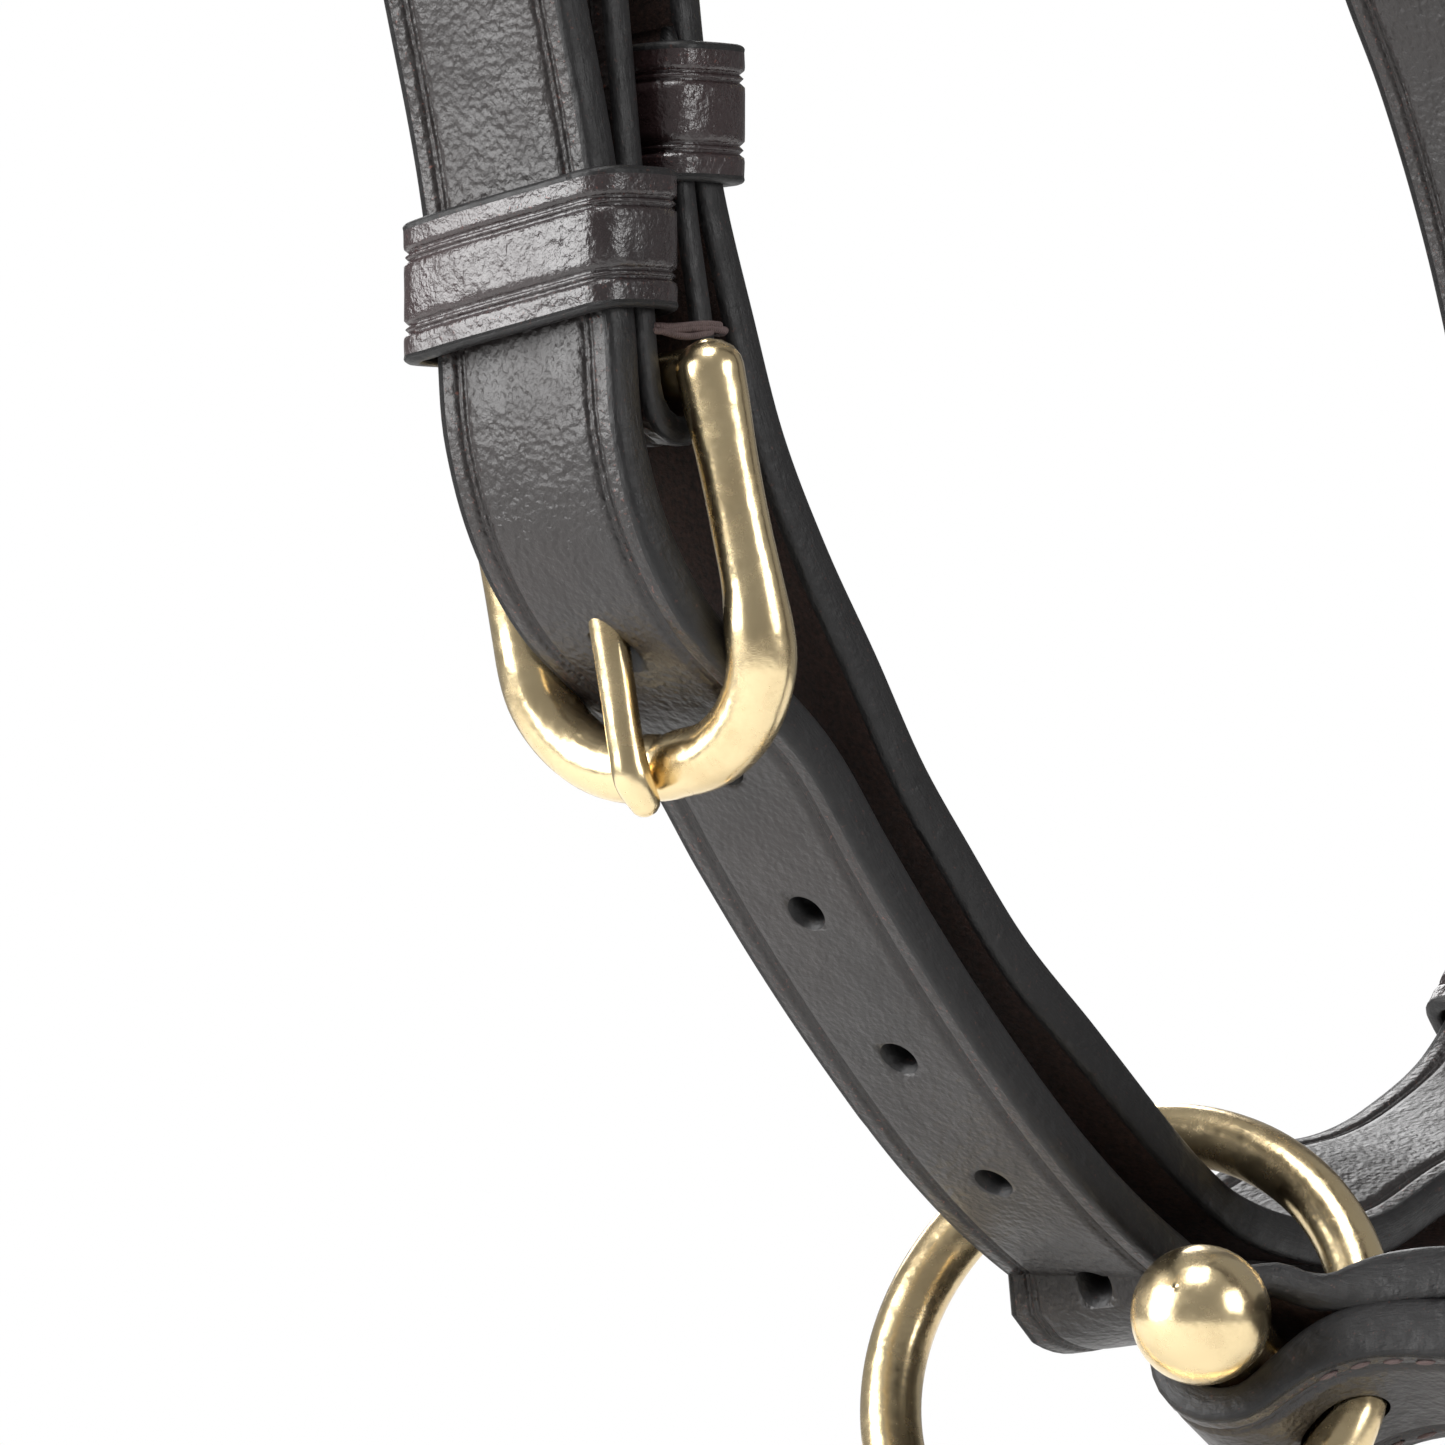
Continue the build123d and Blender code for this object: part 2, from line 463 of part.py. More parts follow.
with BuildPart() as snap_hook:
    with BuildSketch(across_snap(COLLAR_Y - 9.9)):
        Circle(3.6)
    extrude(amount=2.0)
    with BuildSketch(across_snap(COLLAR_Y - 8)):
        Circle(SHANK_R)
    extrude(amount=9.5)
    with BuildSketch(across_snap(COLLAR_Y + 0.5)):
        Circle(4.4)
    extrude(amount=8)
    with BuildLine(HOOK):
        crook = FilletPolyline((0, COLLAR_Y + 5), (HOOK_HALF, COLLAR_Y + 14), (HOOK_HALF, HOOK_TOP),
                               (-HOOK_HALF, HOOK_TOP), (-HOOK_HALF, HOOK_TIP), radius=(5, 8, 8))
    with BuildSketch(Plane(crook @ 0, z_dir=crook % 0)):
        Circle(HOOK_WIRE_R)
    sweep()
    with BuildLine(HOOK):
        foot = Line((0, COLLAR_Y + 5), (-HOOK_HALF, GATE_PIVOT[1] - 2))
    with BuildSketch(Plane(foot @ 0, z_dir=foot % 0)):
        Circle(HOOK_WIRE_R)
    sweep()
    with BuildSketch(pivot_plane):
        Circle(3.4)
    extrude(amount=3.6, both=True)
    with BuildSketch(pivot_plane):
        with Locations((0, 2.5)):
            Rectangle(14, 12)
    extrude(amount=1.9, both=True, mode=Mode.SUBTRACT)
    with BuildSketch(pivot_plane):
        Circle(PIN_R)
    extrude(amount=8, both=True, mode=Mode.SUBTRACT)
save(snap_hook.part, "snap_hook")

with BuildPart() as snap_pin:
    with BuildSketch(pivot_plane):
        Circle(PIN_R)
    extrude(amount=3.9, both=True)
save(snap_pin.part, "snap_gate_pin")

with BuildPart() as snap_gate:
    with BuildSketch(pivot_plane):
        Circle(2.6)
    extrude(amount=1.55, both=True)
    with BuildLine(HOOK):
        blade = Line(GATE_PIVOT, (-HOOK_HALF, HOOK_TIP - 0.5))
    with BuildSketch(Plane(blade @ 0, x_dir=HOOK.x_dir, z_dir=blade % 0)):
        RectangleRounded(3.2, 3.1, 1.2)
    sweep()
    with BuildSketch(pivot_plane):
        Circle(PIN_R + 0.05)
    extrude(amount=8, both=True, mode=Mode.SUBTRACT)
save(snap_gate.part, "snap_gate")

print("near heel", Vector(SQUARE_X, 0, HEEL_Z), "chin heel", chin_heel.origin, "chin forward", chin_forward)
print("ring centre", RING_CENTRE, "axis", RING_AXIS, "stop", stop_plane.origin)
print("snap", HOOK.origin, "up", HOOK.y_dir, "face", HOOK.z_dir)
print("gate pivot", pivot_plane.origin, "square middle", SQUARE_MIDDLE, "throat up", THROAT_UP)
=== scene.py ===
# %% [markdown]
# # A leather headcollar with brass fittings
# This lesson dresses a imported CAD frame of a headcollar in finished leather, brass and thread.
# Every number below is in millimetres and is scaled to metres when a mesh is made.

# %% Load the frame and keep its box
import bmesh
import bpy
from math import cos, pi, radians, sin
import numpy as np
from mathutils import Matrix, Vector


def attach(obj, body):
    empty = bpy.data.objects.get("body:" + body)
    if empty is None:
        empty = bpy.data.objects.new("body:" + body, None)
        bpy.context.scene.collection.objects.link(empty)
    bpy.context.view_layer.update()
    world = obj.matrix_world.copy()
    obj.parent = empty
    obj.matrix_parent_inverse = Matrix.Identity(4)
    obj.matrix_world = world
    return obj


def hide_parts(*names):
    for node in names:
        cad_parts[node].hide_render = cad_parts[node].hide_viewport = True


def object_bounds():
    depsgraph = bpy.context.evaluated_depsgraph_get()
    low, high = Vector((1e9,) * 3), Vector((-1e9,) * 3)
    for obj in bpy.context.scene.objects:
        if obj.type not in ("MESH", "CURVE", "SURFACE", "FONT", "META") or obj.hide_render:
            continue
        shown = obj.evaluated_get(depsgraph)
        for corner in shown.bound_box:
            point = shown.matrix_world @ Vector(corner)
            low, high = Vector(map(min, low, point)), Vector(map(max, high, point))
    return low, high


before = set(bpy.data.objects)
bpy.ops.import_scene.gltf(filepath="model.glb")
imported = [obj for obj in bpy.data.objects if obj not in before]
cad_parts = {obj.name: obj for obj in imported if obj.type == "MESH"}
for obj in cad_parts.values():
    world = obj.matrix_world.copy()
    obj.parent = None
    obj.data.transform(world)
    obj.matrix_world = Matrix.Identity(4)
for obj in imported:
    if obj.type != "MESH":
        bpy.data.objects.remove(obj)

cad_box = [list(corner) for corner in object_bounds()]
MM = 0.001
print("CAD box", cad_box)

# %% [markdown]
# ## Camera, light and floor
# The camera stands behind the near side, level with the chin strap, and uses a long lens.
# A white room with four soft boxes gives broad highlights on dark leather; a small pale disc is
# the floor, which is easier to keep plain than a big backdrop.

# %% Camera
X, Y, Z = np.eye(3)
TOWARD = np.array((0.777, 0.629, 0.0))       # from the straps to the camera
RIGHT = np.array((-0.629, 0.777, 0.0))       # to the right, seen from the camera
ring_middle = np.array((12.0, 31.0, -500.0))


def standing_at(place, way):
    """The matrix of something that stands at a place with its back to a direction."""
    return Matrix.Translation(Vector(place)) @ Vector(way).to_track_quat("Z", "Y").to_matrix().to_4x4()


eye_at = (ring_middle - 45.5 * RIGHT + 73.3 * Z + 1200.0 * TOWARD) * MM
camera = bpy.data.objects.new("camera", bpy.data.cameras.new("camera"))
camera.data.lens = 265.2
camera.data.sensor_width = 36.0
camera.data.clip_end = 20.0
camera.matrix_world = standing_at(eye_at, TOWARD)
bpy.context.collection.objects.link(camera)
scene = bpy.context.scene
scene.camera = camera
scene.view_settings.view_transform = "Standard"
print("camera at", [round(float(c), 3) for c in eye_at])

# %% White room and soft boxes
ROOM_LIGHT = 0.3
STRAPS_MIDDLE = -380.0   # height that the soft boxes look at
room = bpy.data.worlds.new("white_room")
scene.world = room
room.use_nodes = True
nodes, links = room.node_tree.nodes, room.node_tree.links
shown, lit = nodes["Background"], nodes.new("ShaderNodeBackground")
shown.inputs[0].default_value = (1, 1, 1, 1)
lit.inputs[0].default_value = (1, 1, 1, 1)
lit.inputs[1].default_value = ROOM_LIGHT
choose, ray = nodes.new("ShaderNodeMixShader"), nodes.new("ShaderNodeLightPath")
links.new(ray.outputs["Is Camera Ray"], choose.inputs[0])
links.new(lit.outputs[0], choose.inputs[1])
links.new(shown.outputs[0], choose.inputs[2])
links.new(choose.outputs[0], nodes["World Output"].inputs[0])


def soft_box(name, direction, size, watts, distance=1.5):
    """A square area light at a distance from the middle of the straps, looking at them."""
    lamp = bpy.data.objects.new(name, bpy.data.lights.new(name, "AREA"))
    lamp.data.shape = "SQUARE"
    lamp.data.size = size
    lamp.data.energy = watts
    way = Vector(direction).normalized()
    lamp.matrix_world = standing_at(Vector((0, 0, STRAPS_MIDDLE * MM)) + way * distance, way)
    bpy.context.collection.objects.link(lamp)


soft_box("key_light", TOWARD * 0.3 - RIGHT * 1.0 + Z * 0.25, 1.1, 34)
soft_box("top_light", TOWARD * 0.35 - RIGHT * 0.1 + Z * 1.0, 0.7, 16)
soft_box("fill_light", TOWARD * 0.6 + RIGHT * 0.9 + Z * 0.3, 0.6, 9)
soft_box("front_light", -TOWARD * 0.8 - RIGHT * 0.2 + Z * 0.4, 0.9, 12)

# %% Floor
FLOOR_DROP = 25.0
FLOOR_RADIUS = 500.0
FLOOR_SIDES = 96
turns = np.linspace(0, 2 * pi, FLOOR_SIDES + 1)[:-1]
floor_reach = FLOOR_RADIUS * MM
floor_z = cad_box[0][2] - FLOOR_DROP * MM
floor_mesh = bpy.data.meshes.new("floor")
floor_rim = [(floor_reach * cos(a), floor_reach * sin(a), floor_z) for a in turns]
floor_mesh.from_pydata(floor_rim, [], [list(range(FLOOR_SIDES))])
floor = bpy.data.objects.new("floor", floor_mesh)
bpy.context.collection.objects.link(floor)
floor_paint = bpy.data.materials.new("pale_floor")
floor_paint.use_nodes = True
floor_shader = floor_paint.node_tree.nodes["Principled BSDF"]
floor_shader.inputs["Base Color"].default_value = (0.86, 0.86, 0.85, 1)
floor_shader.inputs["Roughness"].default_value = 0.9
floor_mesh.materials.append(floor_paint)

# %% [markdown]
# ## Finishes
# Bridle leather is dyed nearly black and waxed, so its colour comes from the sheen: a fine
# pebble and long soft wrinkles as bump, roughness that changes in patches, and reddish flecks
# where a crease or a corner has rubbed through. The back of the leather is matt and brown.
# All of it is made of noise in the piece's own place, which needs no pictures.


# %% A small kit for shader nodes
def new_finish(name, colour, roughness, metallic=0.0):
    """A material with its shader; gives the material, its nodes, links and shader."""
    material = bpy.data.materials.new(name)
    material.use_nodes = True
    tree = material.node_tree
    shader = tree.nodes["Principled BSDF"]
    shader.inputs["Base Color"].default_value = (*colour, 1)
    shader.inputs["Roughness"].default_value = roughness
    shader.inputs["Metallic"].default_value = metallic
    material.diffuse_color = (*colour, 1)
    return material, tree.nodes, tree.links, shader


def noise(nodes, links, per_mm, detail=3.0, rough=0.5, stretch=(1, 1, 1), source="Object"):
    """Noise with the given number of lumps in a millimetre."""
    place, turn = nodes.new("ShaderNodeTexCoord"), nodes.new("ShaderNodeMapping")
    lumps = nodes.new("ShaderNodeTexNoise")
    turn.inputs["Scale"].default_value = stretch
    links.new(place.outputs[source], turn.inputs["Vector"])
    links.new(turn.outputs["Vector"], lumps.inputs["Vector"])
    lumps.inputs["Scale"].default_value = per_mm / MM
    lumps.inputs["Detail"].default_value = detail
    lumps.inputs["Roughness"].default_value = rough
    return lumps.outputs["Fac"]


def remap(nodes, links, value, low, high, out_low, out_high):
    """The value, stretched from one range to another and held at its ends."""
    box = nodes.new("ShaderNodeMapRange")
    links.new(value, box.inputs["Value"])
    for socket, number in zip(("From Min", "From Max", "To Min", "To Max"), (low, high, out_low, out_high)):
        box.inputs[socket].default_value = number
    return box.outputs["Result"]


def blend_colours(nodes, links, amount, first, second):
    """A colour between two, each a plain colour or another blend."""
    mix = nodes.new("ShaderNodeMix")
    mix.data_type = "RGBA"
    links.new(amount, mix.inputs["Factor"])
    for socket, colour in ((mix.inputs["A"], first), (mix.inputs["B"], second)):
        if isinstance(colour, tuple):
            socket.default_value = (*colour, 1)
        else:
            links.new(colour, socket)
    return mix.outputs["Result"]


def times(nodes, links, first, second):
    """Two values multiplied."""
    product = nodes.new("ShaderNodeMath")
    product.operation = "MULTIPLY"
    links.new(first, product.inputs[0])
    links.new(second, product.inputs[1])
    return product.outputs[0]


def bump(nodes, links, shader, layers):
    """Stack bump layers, each (height, depth in mm), on a shader."""
    last = None
    for height, depth in layers:
        layer = nodes.new("ShaderNodeBump")
        layer.inputs["Strength"].default_value = 1.0
        layer.inputs["Distance"].default_value = depth * MM
        links.new(height, layer.inputs["Height"])
        if last is not None:
            links.new(last, layer.inputs["Normal"])
        last = layer.outputs["Normal"]
    links.new(last, shader.inputs["Normal"])


# %% Leather finishes
def grain_leather(name, dark, warm, fleck, roughness, gloss, pebble=0.15):
    """The waxed outside of a strap."""
    material, nodes, links, shader = new_finish(name, dark, roughness)
    patches = noise(nodes, links, 0.035, 4.0, 0.6)
    rubs = noise(nodes, links, 2.2, 2.0, 0.6)
    worn = nodes.new("ShaderNodeAttribute")
    worn.attribute_name = "wear"
    flecks = times(nodes, links, remap(nodes, links, rubs, 0.63, 0.72, 0.0, 1.0), worn.outputs["Fac"])
    body = blend_colours(nodes, links, remap(nodes, links, patches, 0.35, 0.7, 0.0, 1.0), dark, warm)
    links.new(blend_colours(nodes, links, flecks, body, fleck), shader.inputs["Base Color"])
    smear = noise(nodes, links, 0.12, 5.0, 0.65)
    sheen = remap(nodes, links, smear, 0.3, 0.7, roughness - 0.07, roughness + 0.09)
    links.new(sheen, shader.inputs["Roughness"])
    shader.inputs["Specular IOR Level"].default_value = gloss
    pebbles = nodes.new("ShaderNodeTexVoronoi")
    place = nodes.new("ShaderNodeTexCoord")
    links.new(place.outputs["Object"], pebbles.inputs["Vector"])
    pebbles.inputs["Scale"].default_value = 1.35 / MM
    pebbles.feature = "SMOOTH_F1"
    wrinkles = noise(nodes, links, 0.55, 4.0, 0.62)
    swell = noise(nodes, links, 0.09, 2.0, 0.5)
    bump(nodes, links, shader, [(swell, 0.7), (wrinkles, 0.34), (pebbles.outputs["Distance"], pebble)])
    return material


NEAR_BLACK = (0.0080, 0.0060, 0.0058)
WARM_BLACK = (0.0135, 0.0088, 0.0080)
havana = grain_leather("havana_leather", NEAR_BLACK, WARM_BLACK, (0.12, 0.042, 0.03), 0.43, 0.62)
keeper_hide = grain_leather("keeper_leather", (0.014, 0.0085, 0.009), (0.026, 0.014, 0.0145),
                            (0.08, 0.03, 0.025), 0.27, 0.8, 0.06)
lining_hide = grain_leather("lining_leather", (0.035, 0.019, 0.013), (0.05, 0.028, 0.018),
                            (0.1, 0.05, 0.03), 0.55, 0.4)


def dyed_edge():
    """The cut edge, dyed, rubbed smooth and a little fibrous."""
    material, nodes, links, shader = new_finish("dyed_edge", NEAR_BLACK, 0.5)
    shader.inputs["Specular IOR Level"].default_value = 0.42
    rubs = noise(nodes, links, 1.8, 3.0, 0.6)
    fleck = remap(nodes, links, rubs, 0.64, 0.74, 0.0, 0.8)
    body = blend_colours(nodes, links, fleck, (0.0055, 0.005, 0.0055), (0.06, 0.024, 0.018))
    links.new(body, shader.inputs["Base Color"])
    links.new(remap(nodes, links, noise(nodes, links, 0.3), 0.3, 0.7, 0.42, 0.6), shader.inputs["Roughness"])
    fibres = noise(nodes, links, 0.9, 4.0, 0.7, (0.35, 2.0, 1.0), "UV")
    bump(nodes, links, shader, [(noise(nodes, links, 0.5), 0.25), (fibres, 0.12)])
    return material


def flesh_side():
    """The brown, matt inside of the leather, with short loose fibres."""
    material, nodes, links, shader = new_finish("flesh_side", (0.022, 0.012, 0.0095), 0.82)
    tufts = noise(nodes, links, 1.4, 5.0, 0.7)
    amount = remap(nodes, links, tufts, 0.35, 0.72, 0.0, 1.0)
    body = blend_colours(nodes, links, amount, (0.012, 0.0075, 0.0065), (0.05, 0.024, 0.018))
    links.new(body, shader.inputs["Base Color"])
    shader.inputs["Specular IOR Level"].default_value = 0.25
    bump(nodes, links, shader, [(tufts, 0.3)])
    return material


edge_dye, flesh = dyed_edge(), flesh_side()


# %% [markdown]
# Cast brass is polished and then handled: warm yellow, a satin gloss that changes from place to
# place, hair scratches and a brown bloom in patches. Linen thread is waxed and twisted.


# %% Brass and thread
def brass_finish():
    """Satin polished brass."""
    material, nodes, links, shader = new_finish("brass", (0.76, 0.60, 0.34), 0.24, 1.0)
    bloom = noise(nodes, links, 0.1, 5.0, 0.65)
    amount = remap(nodes, links, bloom, 0.42, 0.75, 0.0, 0.75)
    body = blend_colours(nodes, links, amount, (0.80, 0.645, 0.385), (0.56, 0.41, 0.22))
    links.new(body, shader.inputs["Base Color"])
    hazy = noise(nodes, links, 0.4, 6.0, 0.7)
    links.new(remap(nodes, links, hazy, 0.3, 0.75, 0.16, 0.34), shader.inputs["Roughness"])
    scratches = noise(nodes, links, 2.5, 3.0, 0.6, (0.25, 1.0, 2.5))
    dents = noise(nodes, links, 0.16, 3.0, 0.5)
    bump(nodes, links, shader, [(dents, 0.22), (scratches, 0.006)])
    return material


def thread_finish():
    """Waxed linen thread with its twist."""
    material, nodes, links, shader = new_finish("linen_thread", (0.085, 0.052, 0.05), 0.6)
    tone = noise(nodes, links, 0.8, 2.0)
    body = blend_colours(nodes, links, tone, (0.05, 0.03, 0.028), (0.14, 0.09, 0.085))
    links.new(body, shader.inputs["Base Color"])
    ply = nodes.new("ShaderNodeTexWave")
    place = nodes.new("ShaderNodeTexCoord")
    links.new(place.outputs["Object"], ply.inputs["Vector"])
    ply.inputs["Scale"].default_value = 0.9 / MM
    bump(nodes, links, shader, [(ply.outputs["Fac"], 0.1)])
    return material


brass, thread = brass_finish(), thread_finish()
print("finishes", [m.name for m in bpy.data.materials])

# %% [markdown]
# ## Sweeping a strap
# Every strap is the same thing: one cross-section carried along a line. The section has two
# fine lines (the creases) pressed in a few millimetres from each edge, round corners
# and a domed edge. Carrying it by hand, instead of with a curve's bevel, lets the thickness,
# width and twist change from place to place, and marks grain, edge and flesh as they are made.

# %% Smooth lines through given places
STEP = 1.6               # length of one piece of a strap
ARC_PLACES = 9           # places on a turn round a bar


def smooth_line(rows, step=STEP):
    """Rows of numbers, the first three a place, resampled evenly on a smooth line through them."""
    rows = np.asarray(rows, float)
    gaps = np.maximum(np.linalg.norm(np.diff(rows[:, :3], axis=0), axis=1), 1e-6)
    knots = np.concatenate([[0], np.cumsum(gaps)])
    slopes = np.gradient(rows, knots, axis=0)
    fine = []
    for i, gap in enumerate(gaps):
        t = np.linspace(0, 1, max(2, int(gap / 0.4)), endpoint=False)[:, None]
        fine.append(rows[i] * (2 * t**3 - 3 * t**2 + 1) + rows[i + 1] * (3 * t**2 - 2 * t**3)
                    + gap * (slopes[i] * (t**3 - 2 * t**2 + t) + slopes[i + 1] * (t**3 - t**2)))
    fine = np.vstack(fine + [rows[-1:]])
    run = np.concatenate([[0], np.cumsum(np.linalg.norm(np.diff(fine[:, :3], axis=0), axis=1))])
    even = np.linspace(0, run[-1], max(3, int(run[-1] / step)) + 1)
    return np.stack([np.interp(even, run, column) for column in fine.T], axis=1)


def arc(centre, radius, first, sweep, thick):
    """Places (x, y, thickness) on an arc, for the turn of a strap round a bar."""
    angles = np.radians(first + sweep * np.linspace(0, 1, ARC_PLACES))
    return [(centre[0] + radius * cos(a), centre[1] + radius * sin(a), thick) for a in angles]


def unit(vectors):
    """The vectors at length one."""
    vectors = np.asarray(vectors, float)
    return vectors / np.linalg.norm(vectors, axis=-1, keepdims=True)


# %% The cross-section of a strap
CORNER = 1.35            # how far the rounded corner reaches in from the edge
CREASES = (3.3, 4.15)    # lines pressed in beside each edge
CREASE_DEPTH = 0.5
CREASE_WIDTH = 0.3


def section(wide, thick, crease):
    """Across and through places of one closed section, its zone (0 grain, 1 edge, 2 flesh) and wear."""
    half, corner = wide / 2, min(CORNER, thick * 0.42)
    fine = [corner, 1.9, 2.5, 2.85, 3.08, 3.3, 3.5, 3.72, 3.93, 4.15, 4.38, 4.7, 5.4, 7.2, 9.8]
    ins = np.array([d for d in fine if d < half - 0.5])
    press = sum(np.exp(-((ins - c) / CREASE_WIDTH) ** 2) for c in CREASES) * CREASE_DEPTH * crease
    dome = 0.16 * (1 - np.clip(ins / 4.0, 0, 1)) ** 2
    a = np.concatenate([-(half - ins), [0.0], (half - ins)[::-1]])
    b = np.concatenate([thick / 2 - press - dome, [thick / 2], (thick / 2 - press - dome)[::-1]])
    turn = np.linspace(0, pi, 11)[1:-1]
    side_a = half - corner + corner * np.abs(np.sin(turn)) ** 0.75
    side_b = (thick / 2) * np.sign(np.cos(turn)) * np.abs(np.cos(turn)) ** 0.8
    under = np.array([corner, 3.0, 6.5, 10.0])
    under = under[under < half - 0.5]
    low_a = np.concatenate([half - under, [0.0], -(half - under)[::-1]])
    low_b = np.full(len(low_a), -thick / 2)
    across = np.concatenate([a, side_a, low_a, -side_a[::-1]])
    through = np.concatenate([b, side_b, low_b, side_b[::-1]])
    zone = np.concatenate([np.zeros(len(a)), np.ones(9), np.full(len(low_a), 2), np.ones(9)]).astype(int)
    by_creases = np.exp(-((ins - 2.6) / 1.6) ** 2)
    rubbed = np.concatenate([by_creases, [0.06], by_creases[::-1],
                             np.full(9, 0.7), np.full(len(low_a), 0.5), np.full(9, 0.7)])
    return across, through, zone, rubbed


# %% Building the mesh of a strap
def make_object(name, verts, faces, materials, zones=None, uvs=None, wear=None):
    """A smooth-shaded mesh object at the origin, with its places given in millimetres."""
    mesh = bpy.data.meshes.new(name)
    mesh.from_pydata((np.asarray(verts) * MM).tolist(), [], faces)
    for material in materials:
        mesh.materials.append(material)
    if zones is not None:
        mesh.polygons.foreach_set("material_index", np.asarray(zones, np.int32))
    mesh.polygons.foreach_set("use_smooth", np.ones(len(mesh.polygons), bool))
    if uvs is not None:
        layer = mesh.uv_layers.new(name="run")
        order = np.empty(len(mesh.loops), np.int32)
        mesh.loops.foreach_get("vertex_index", order)
        layer.data.foreach_set("uv", (np.asarray(uvs) * MM)[order].astype(np.float32).ravel())
    if wear is not None:
        mesh.attributes.new("wear", "FLOAT", "POINT").data.foreach_set("value", np.asarray(wear, np.float32))
    mesh.update()
    body = bpy.data.objects.new(name, mesh)
    bpy.context.collection.objects.link(body)
    return body


def faces_of_grid(rows, columns, closed):
    """Quads of a grid that is closed round its section, and along its length when asked."""
    last = rows if closed else rows - 1
    i, j = np.meshgrid(np.arange(last), np.arange(columns), indexing="ij")
    n, k = (i + 1) % rows, (j + 1) % columns
    return np.stack([i * columns + j, n * columns + j, n * columns + k, i * columns + k], -1).reshape(-1, 4)


def strap(name, line, across, wide=25.4, crease=1.0, closed=False, tips=(0, 0), finish=None):
    """A strap whose middle follows the line (x, y, z, thickness), with across its width direction."""
    line, across = np.asarray(line, float), unit(np.broadcast_to(across, (len(line), 3)))
    at, thick = line[:, :3], line[:, 3]
    ahead = (np.roll(at, -1, 0) - np.roll(at, 1, 0)) if closed else np.gradient(at, axis=0)
    ahead = unit(ahead)
    across = unit(across - ahead * (across * ahead).sum(1)[:, None])
    out = np.cross(across, ahead)
    run = np.concatenate([[0], np.cumsum(np.linalg.norm(np.diff(at, axis=0), axis=1))])
    widths = np.broadcast_to(np.asarray(wide, float), (len(at),)).copy()
    for reach, distance in ((tips[0], run), (tips[1], run[-1] - run)):
        if reach:
            widths *= 0.18 + 0.82 * np.sqrt(1 - (1 - np.clip(distance / reach, 0, 1)) ** 2)
    verts, uvs, wear = [], [], []
    for i in range(len(at)):
        a, b, zone, rubbed = section(float(np.max(widths)), thick[i], crease)
        a = a * widths[i] / np.max(widths)
        if not closed:
            near_end = min(run[i], run[-1] - run[i])
            b = b * (1 - 0.55 * (1 - min(near_end / 1.6, 1)) ** 2)
        verts.append(at[i] + a[:, None] * across[i] + b[:, None] * out[i])
        round_it = np.cumsum(np.r_[0, np.hypot(np.diff(a), np.diff(b))])
        uvs.append(np.stack([np.full(len(a), run[i]), round_it], 1))
        wear.append(rubbed)
    count = len(zone)
    faces = faces_of_grid(len(at), count, closed)
    zones = np.tile(np.where((zone == 1) | (np.roll(zone, -1) == 1), 1, zone), len(faces) // count)
    faces = faces[:, ::-1].tolist()
    zones = zones.tolist()
    if not closed:
        faces += [list(range(count)), [len(at) * count - 1 - k for k in range(count)]]
        zones += [1, 1]
    piece = make_object(name, np.vstack(verts), faces, [finish or havana, edge_dye, flesh],
                        zones, np.vstack(uvs), np.concatenate(wear))
    return turned_outwards(piece)


def turned_outwards(piece):
    """Flip a closed mesh if its faces point inwards."""
    mesh = piece.data
    mesh.calc_loop_triangles()
    places = np.array([v.co for v in mesh.vertices])
    corners = np.array([t.vertices for t in mesh.loop_triangles])
    p = places[corners]
    if (p[:, 0] * np.cross(p[:, 1], p[:, 2])).sum() < 0:
        mesh.flip_normals()
    return piece


def dressed(piece, body, node):
    """Let a piece move with a body and stand for a CAD node, which is hidden."""
    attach(piece, body)
    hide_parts(node)


def length_of(line):
    """Whole millimetres along a line."""
    return round(float(np.linalg.norm(np.diff(line[:, :3], axis=0), axis=1).sum()))


# %% [markdown]
# ## Punching holes
# The tongue holes and the slots for the ring go right through the leather. A Geometry Nodes tree
# takes a punch mesh from another object and cuts it out with an exact boolean, so one small
# tree serves every strap; the result is made a plain mesh again and the modifier is gone.


# %% The punching tree
def socket_id(tree, name):
    """The identifier of a tree's named input."""
    return next(item.identifier for item in tree.interface.items_tree
                if item.in_out == "INPUT" and item.name == name)


def punching_tree():
    """Cut the punches out of a strap."""
    tree = bpy.data.node_groups.new("punch_holes", "GeometryNodeTree")
    tree.interface.new_socket("Strap", in_out="INPUT", socket_type="NodeSocketGeometry")
    tree.interface.new_socket("Punches", in_out="INPUT", socket_type="NodeSocketObject")
    tree.interface.new_socket("Punched", in_out="OUTPUT", socket_type="NodeSocketGeometry")
    get, give = tree.nodes.new("NodeGroupInput"), tree.nodes.new("NodeGroupOutput")
    punches, cut = tree.nodes.new("GeometryNodeObjectInfo"), tree.nodes.new("GeometryNodeMeshBoolean")
    cut.operation = "DIFFERENCE"
    cut.solver = "EXACT"
    real = tree.nodes.new("GeometryNodeRealizeInstances")
    tree.links.new(get.outputs["Punches"], punches.inputs["Object"])
    tree.links.new(get.outputs["Strap"], cut.inputs[0])
    tree.links.new(punches.outputs["Geometry"], cut.inputs[1])
    tree.links.new(cut.outputs["Mesh"], real.inputs[0])
    tree.links.new(real.outputs[0], give.inputs[0])
    return tree


def made_plain(piece, tree, values):
    """Run a tree on a piece with its named inputs and keep only the mesh that comes out."""
    step = piece.modifiers.new(tree.name, "NODES")
    step.node_group = tree
    for name, value in values.items():
        step[socket_id(tree, name)] = value
    bpy.context.view_layer.update()
    result = bpy.data.meshes.new_from_object(piece.evaluated_get(bpy.context.evaluated_depsgraph_get()))
    piece.modifiers.clear()
    old, result.name = piece.data, piece.name
    piece.data = result
    bpy.data.meshes.remove(old)
    return piece


PUNCHING = punching_tree()


def punched(piece, punches):
    """Cut a list of punch pieces out of a strap and throw the punches away."""
    tool = joined("punch_tool", punches)
    made_plain(piece, PUNCHING, {"Punches": tool})
    bpy.data.objects.remove(tool)
    return piece


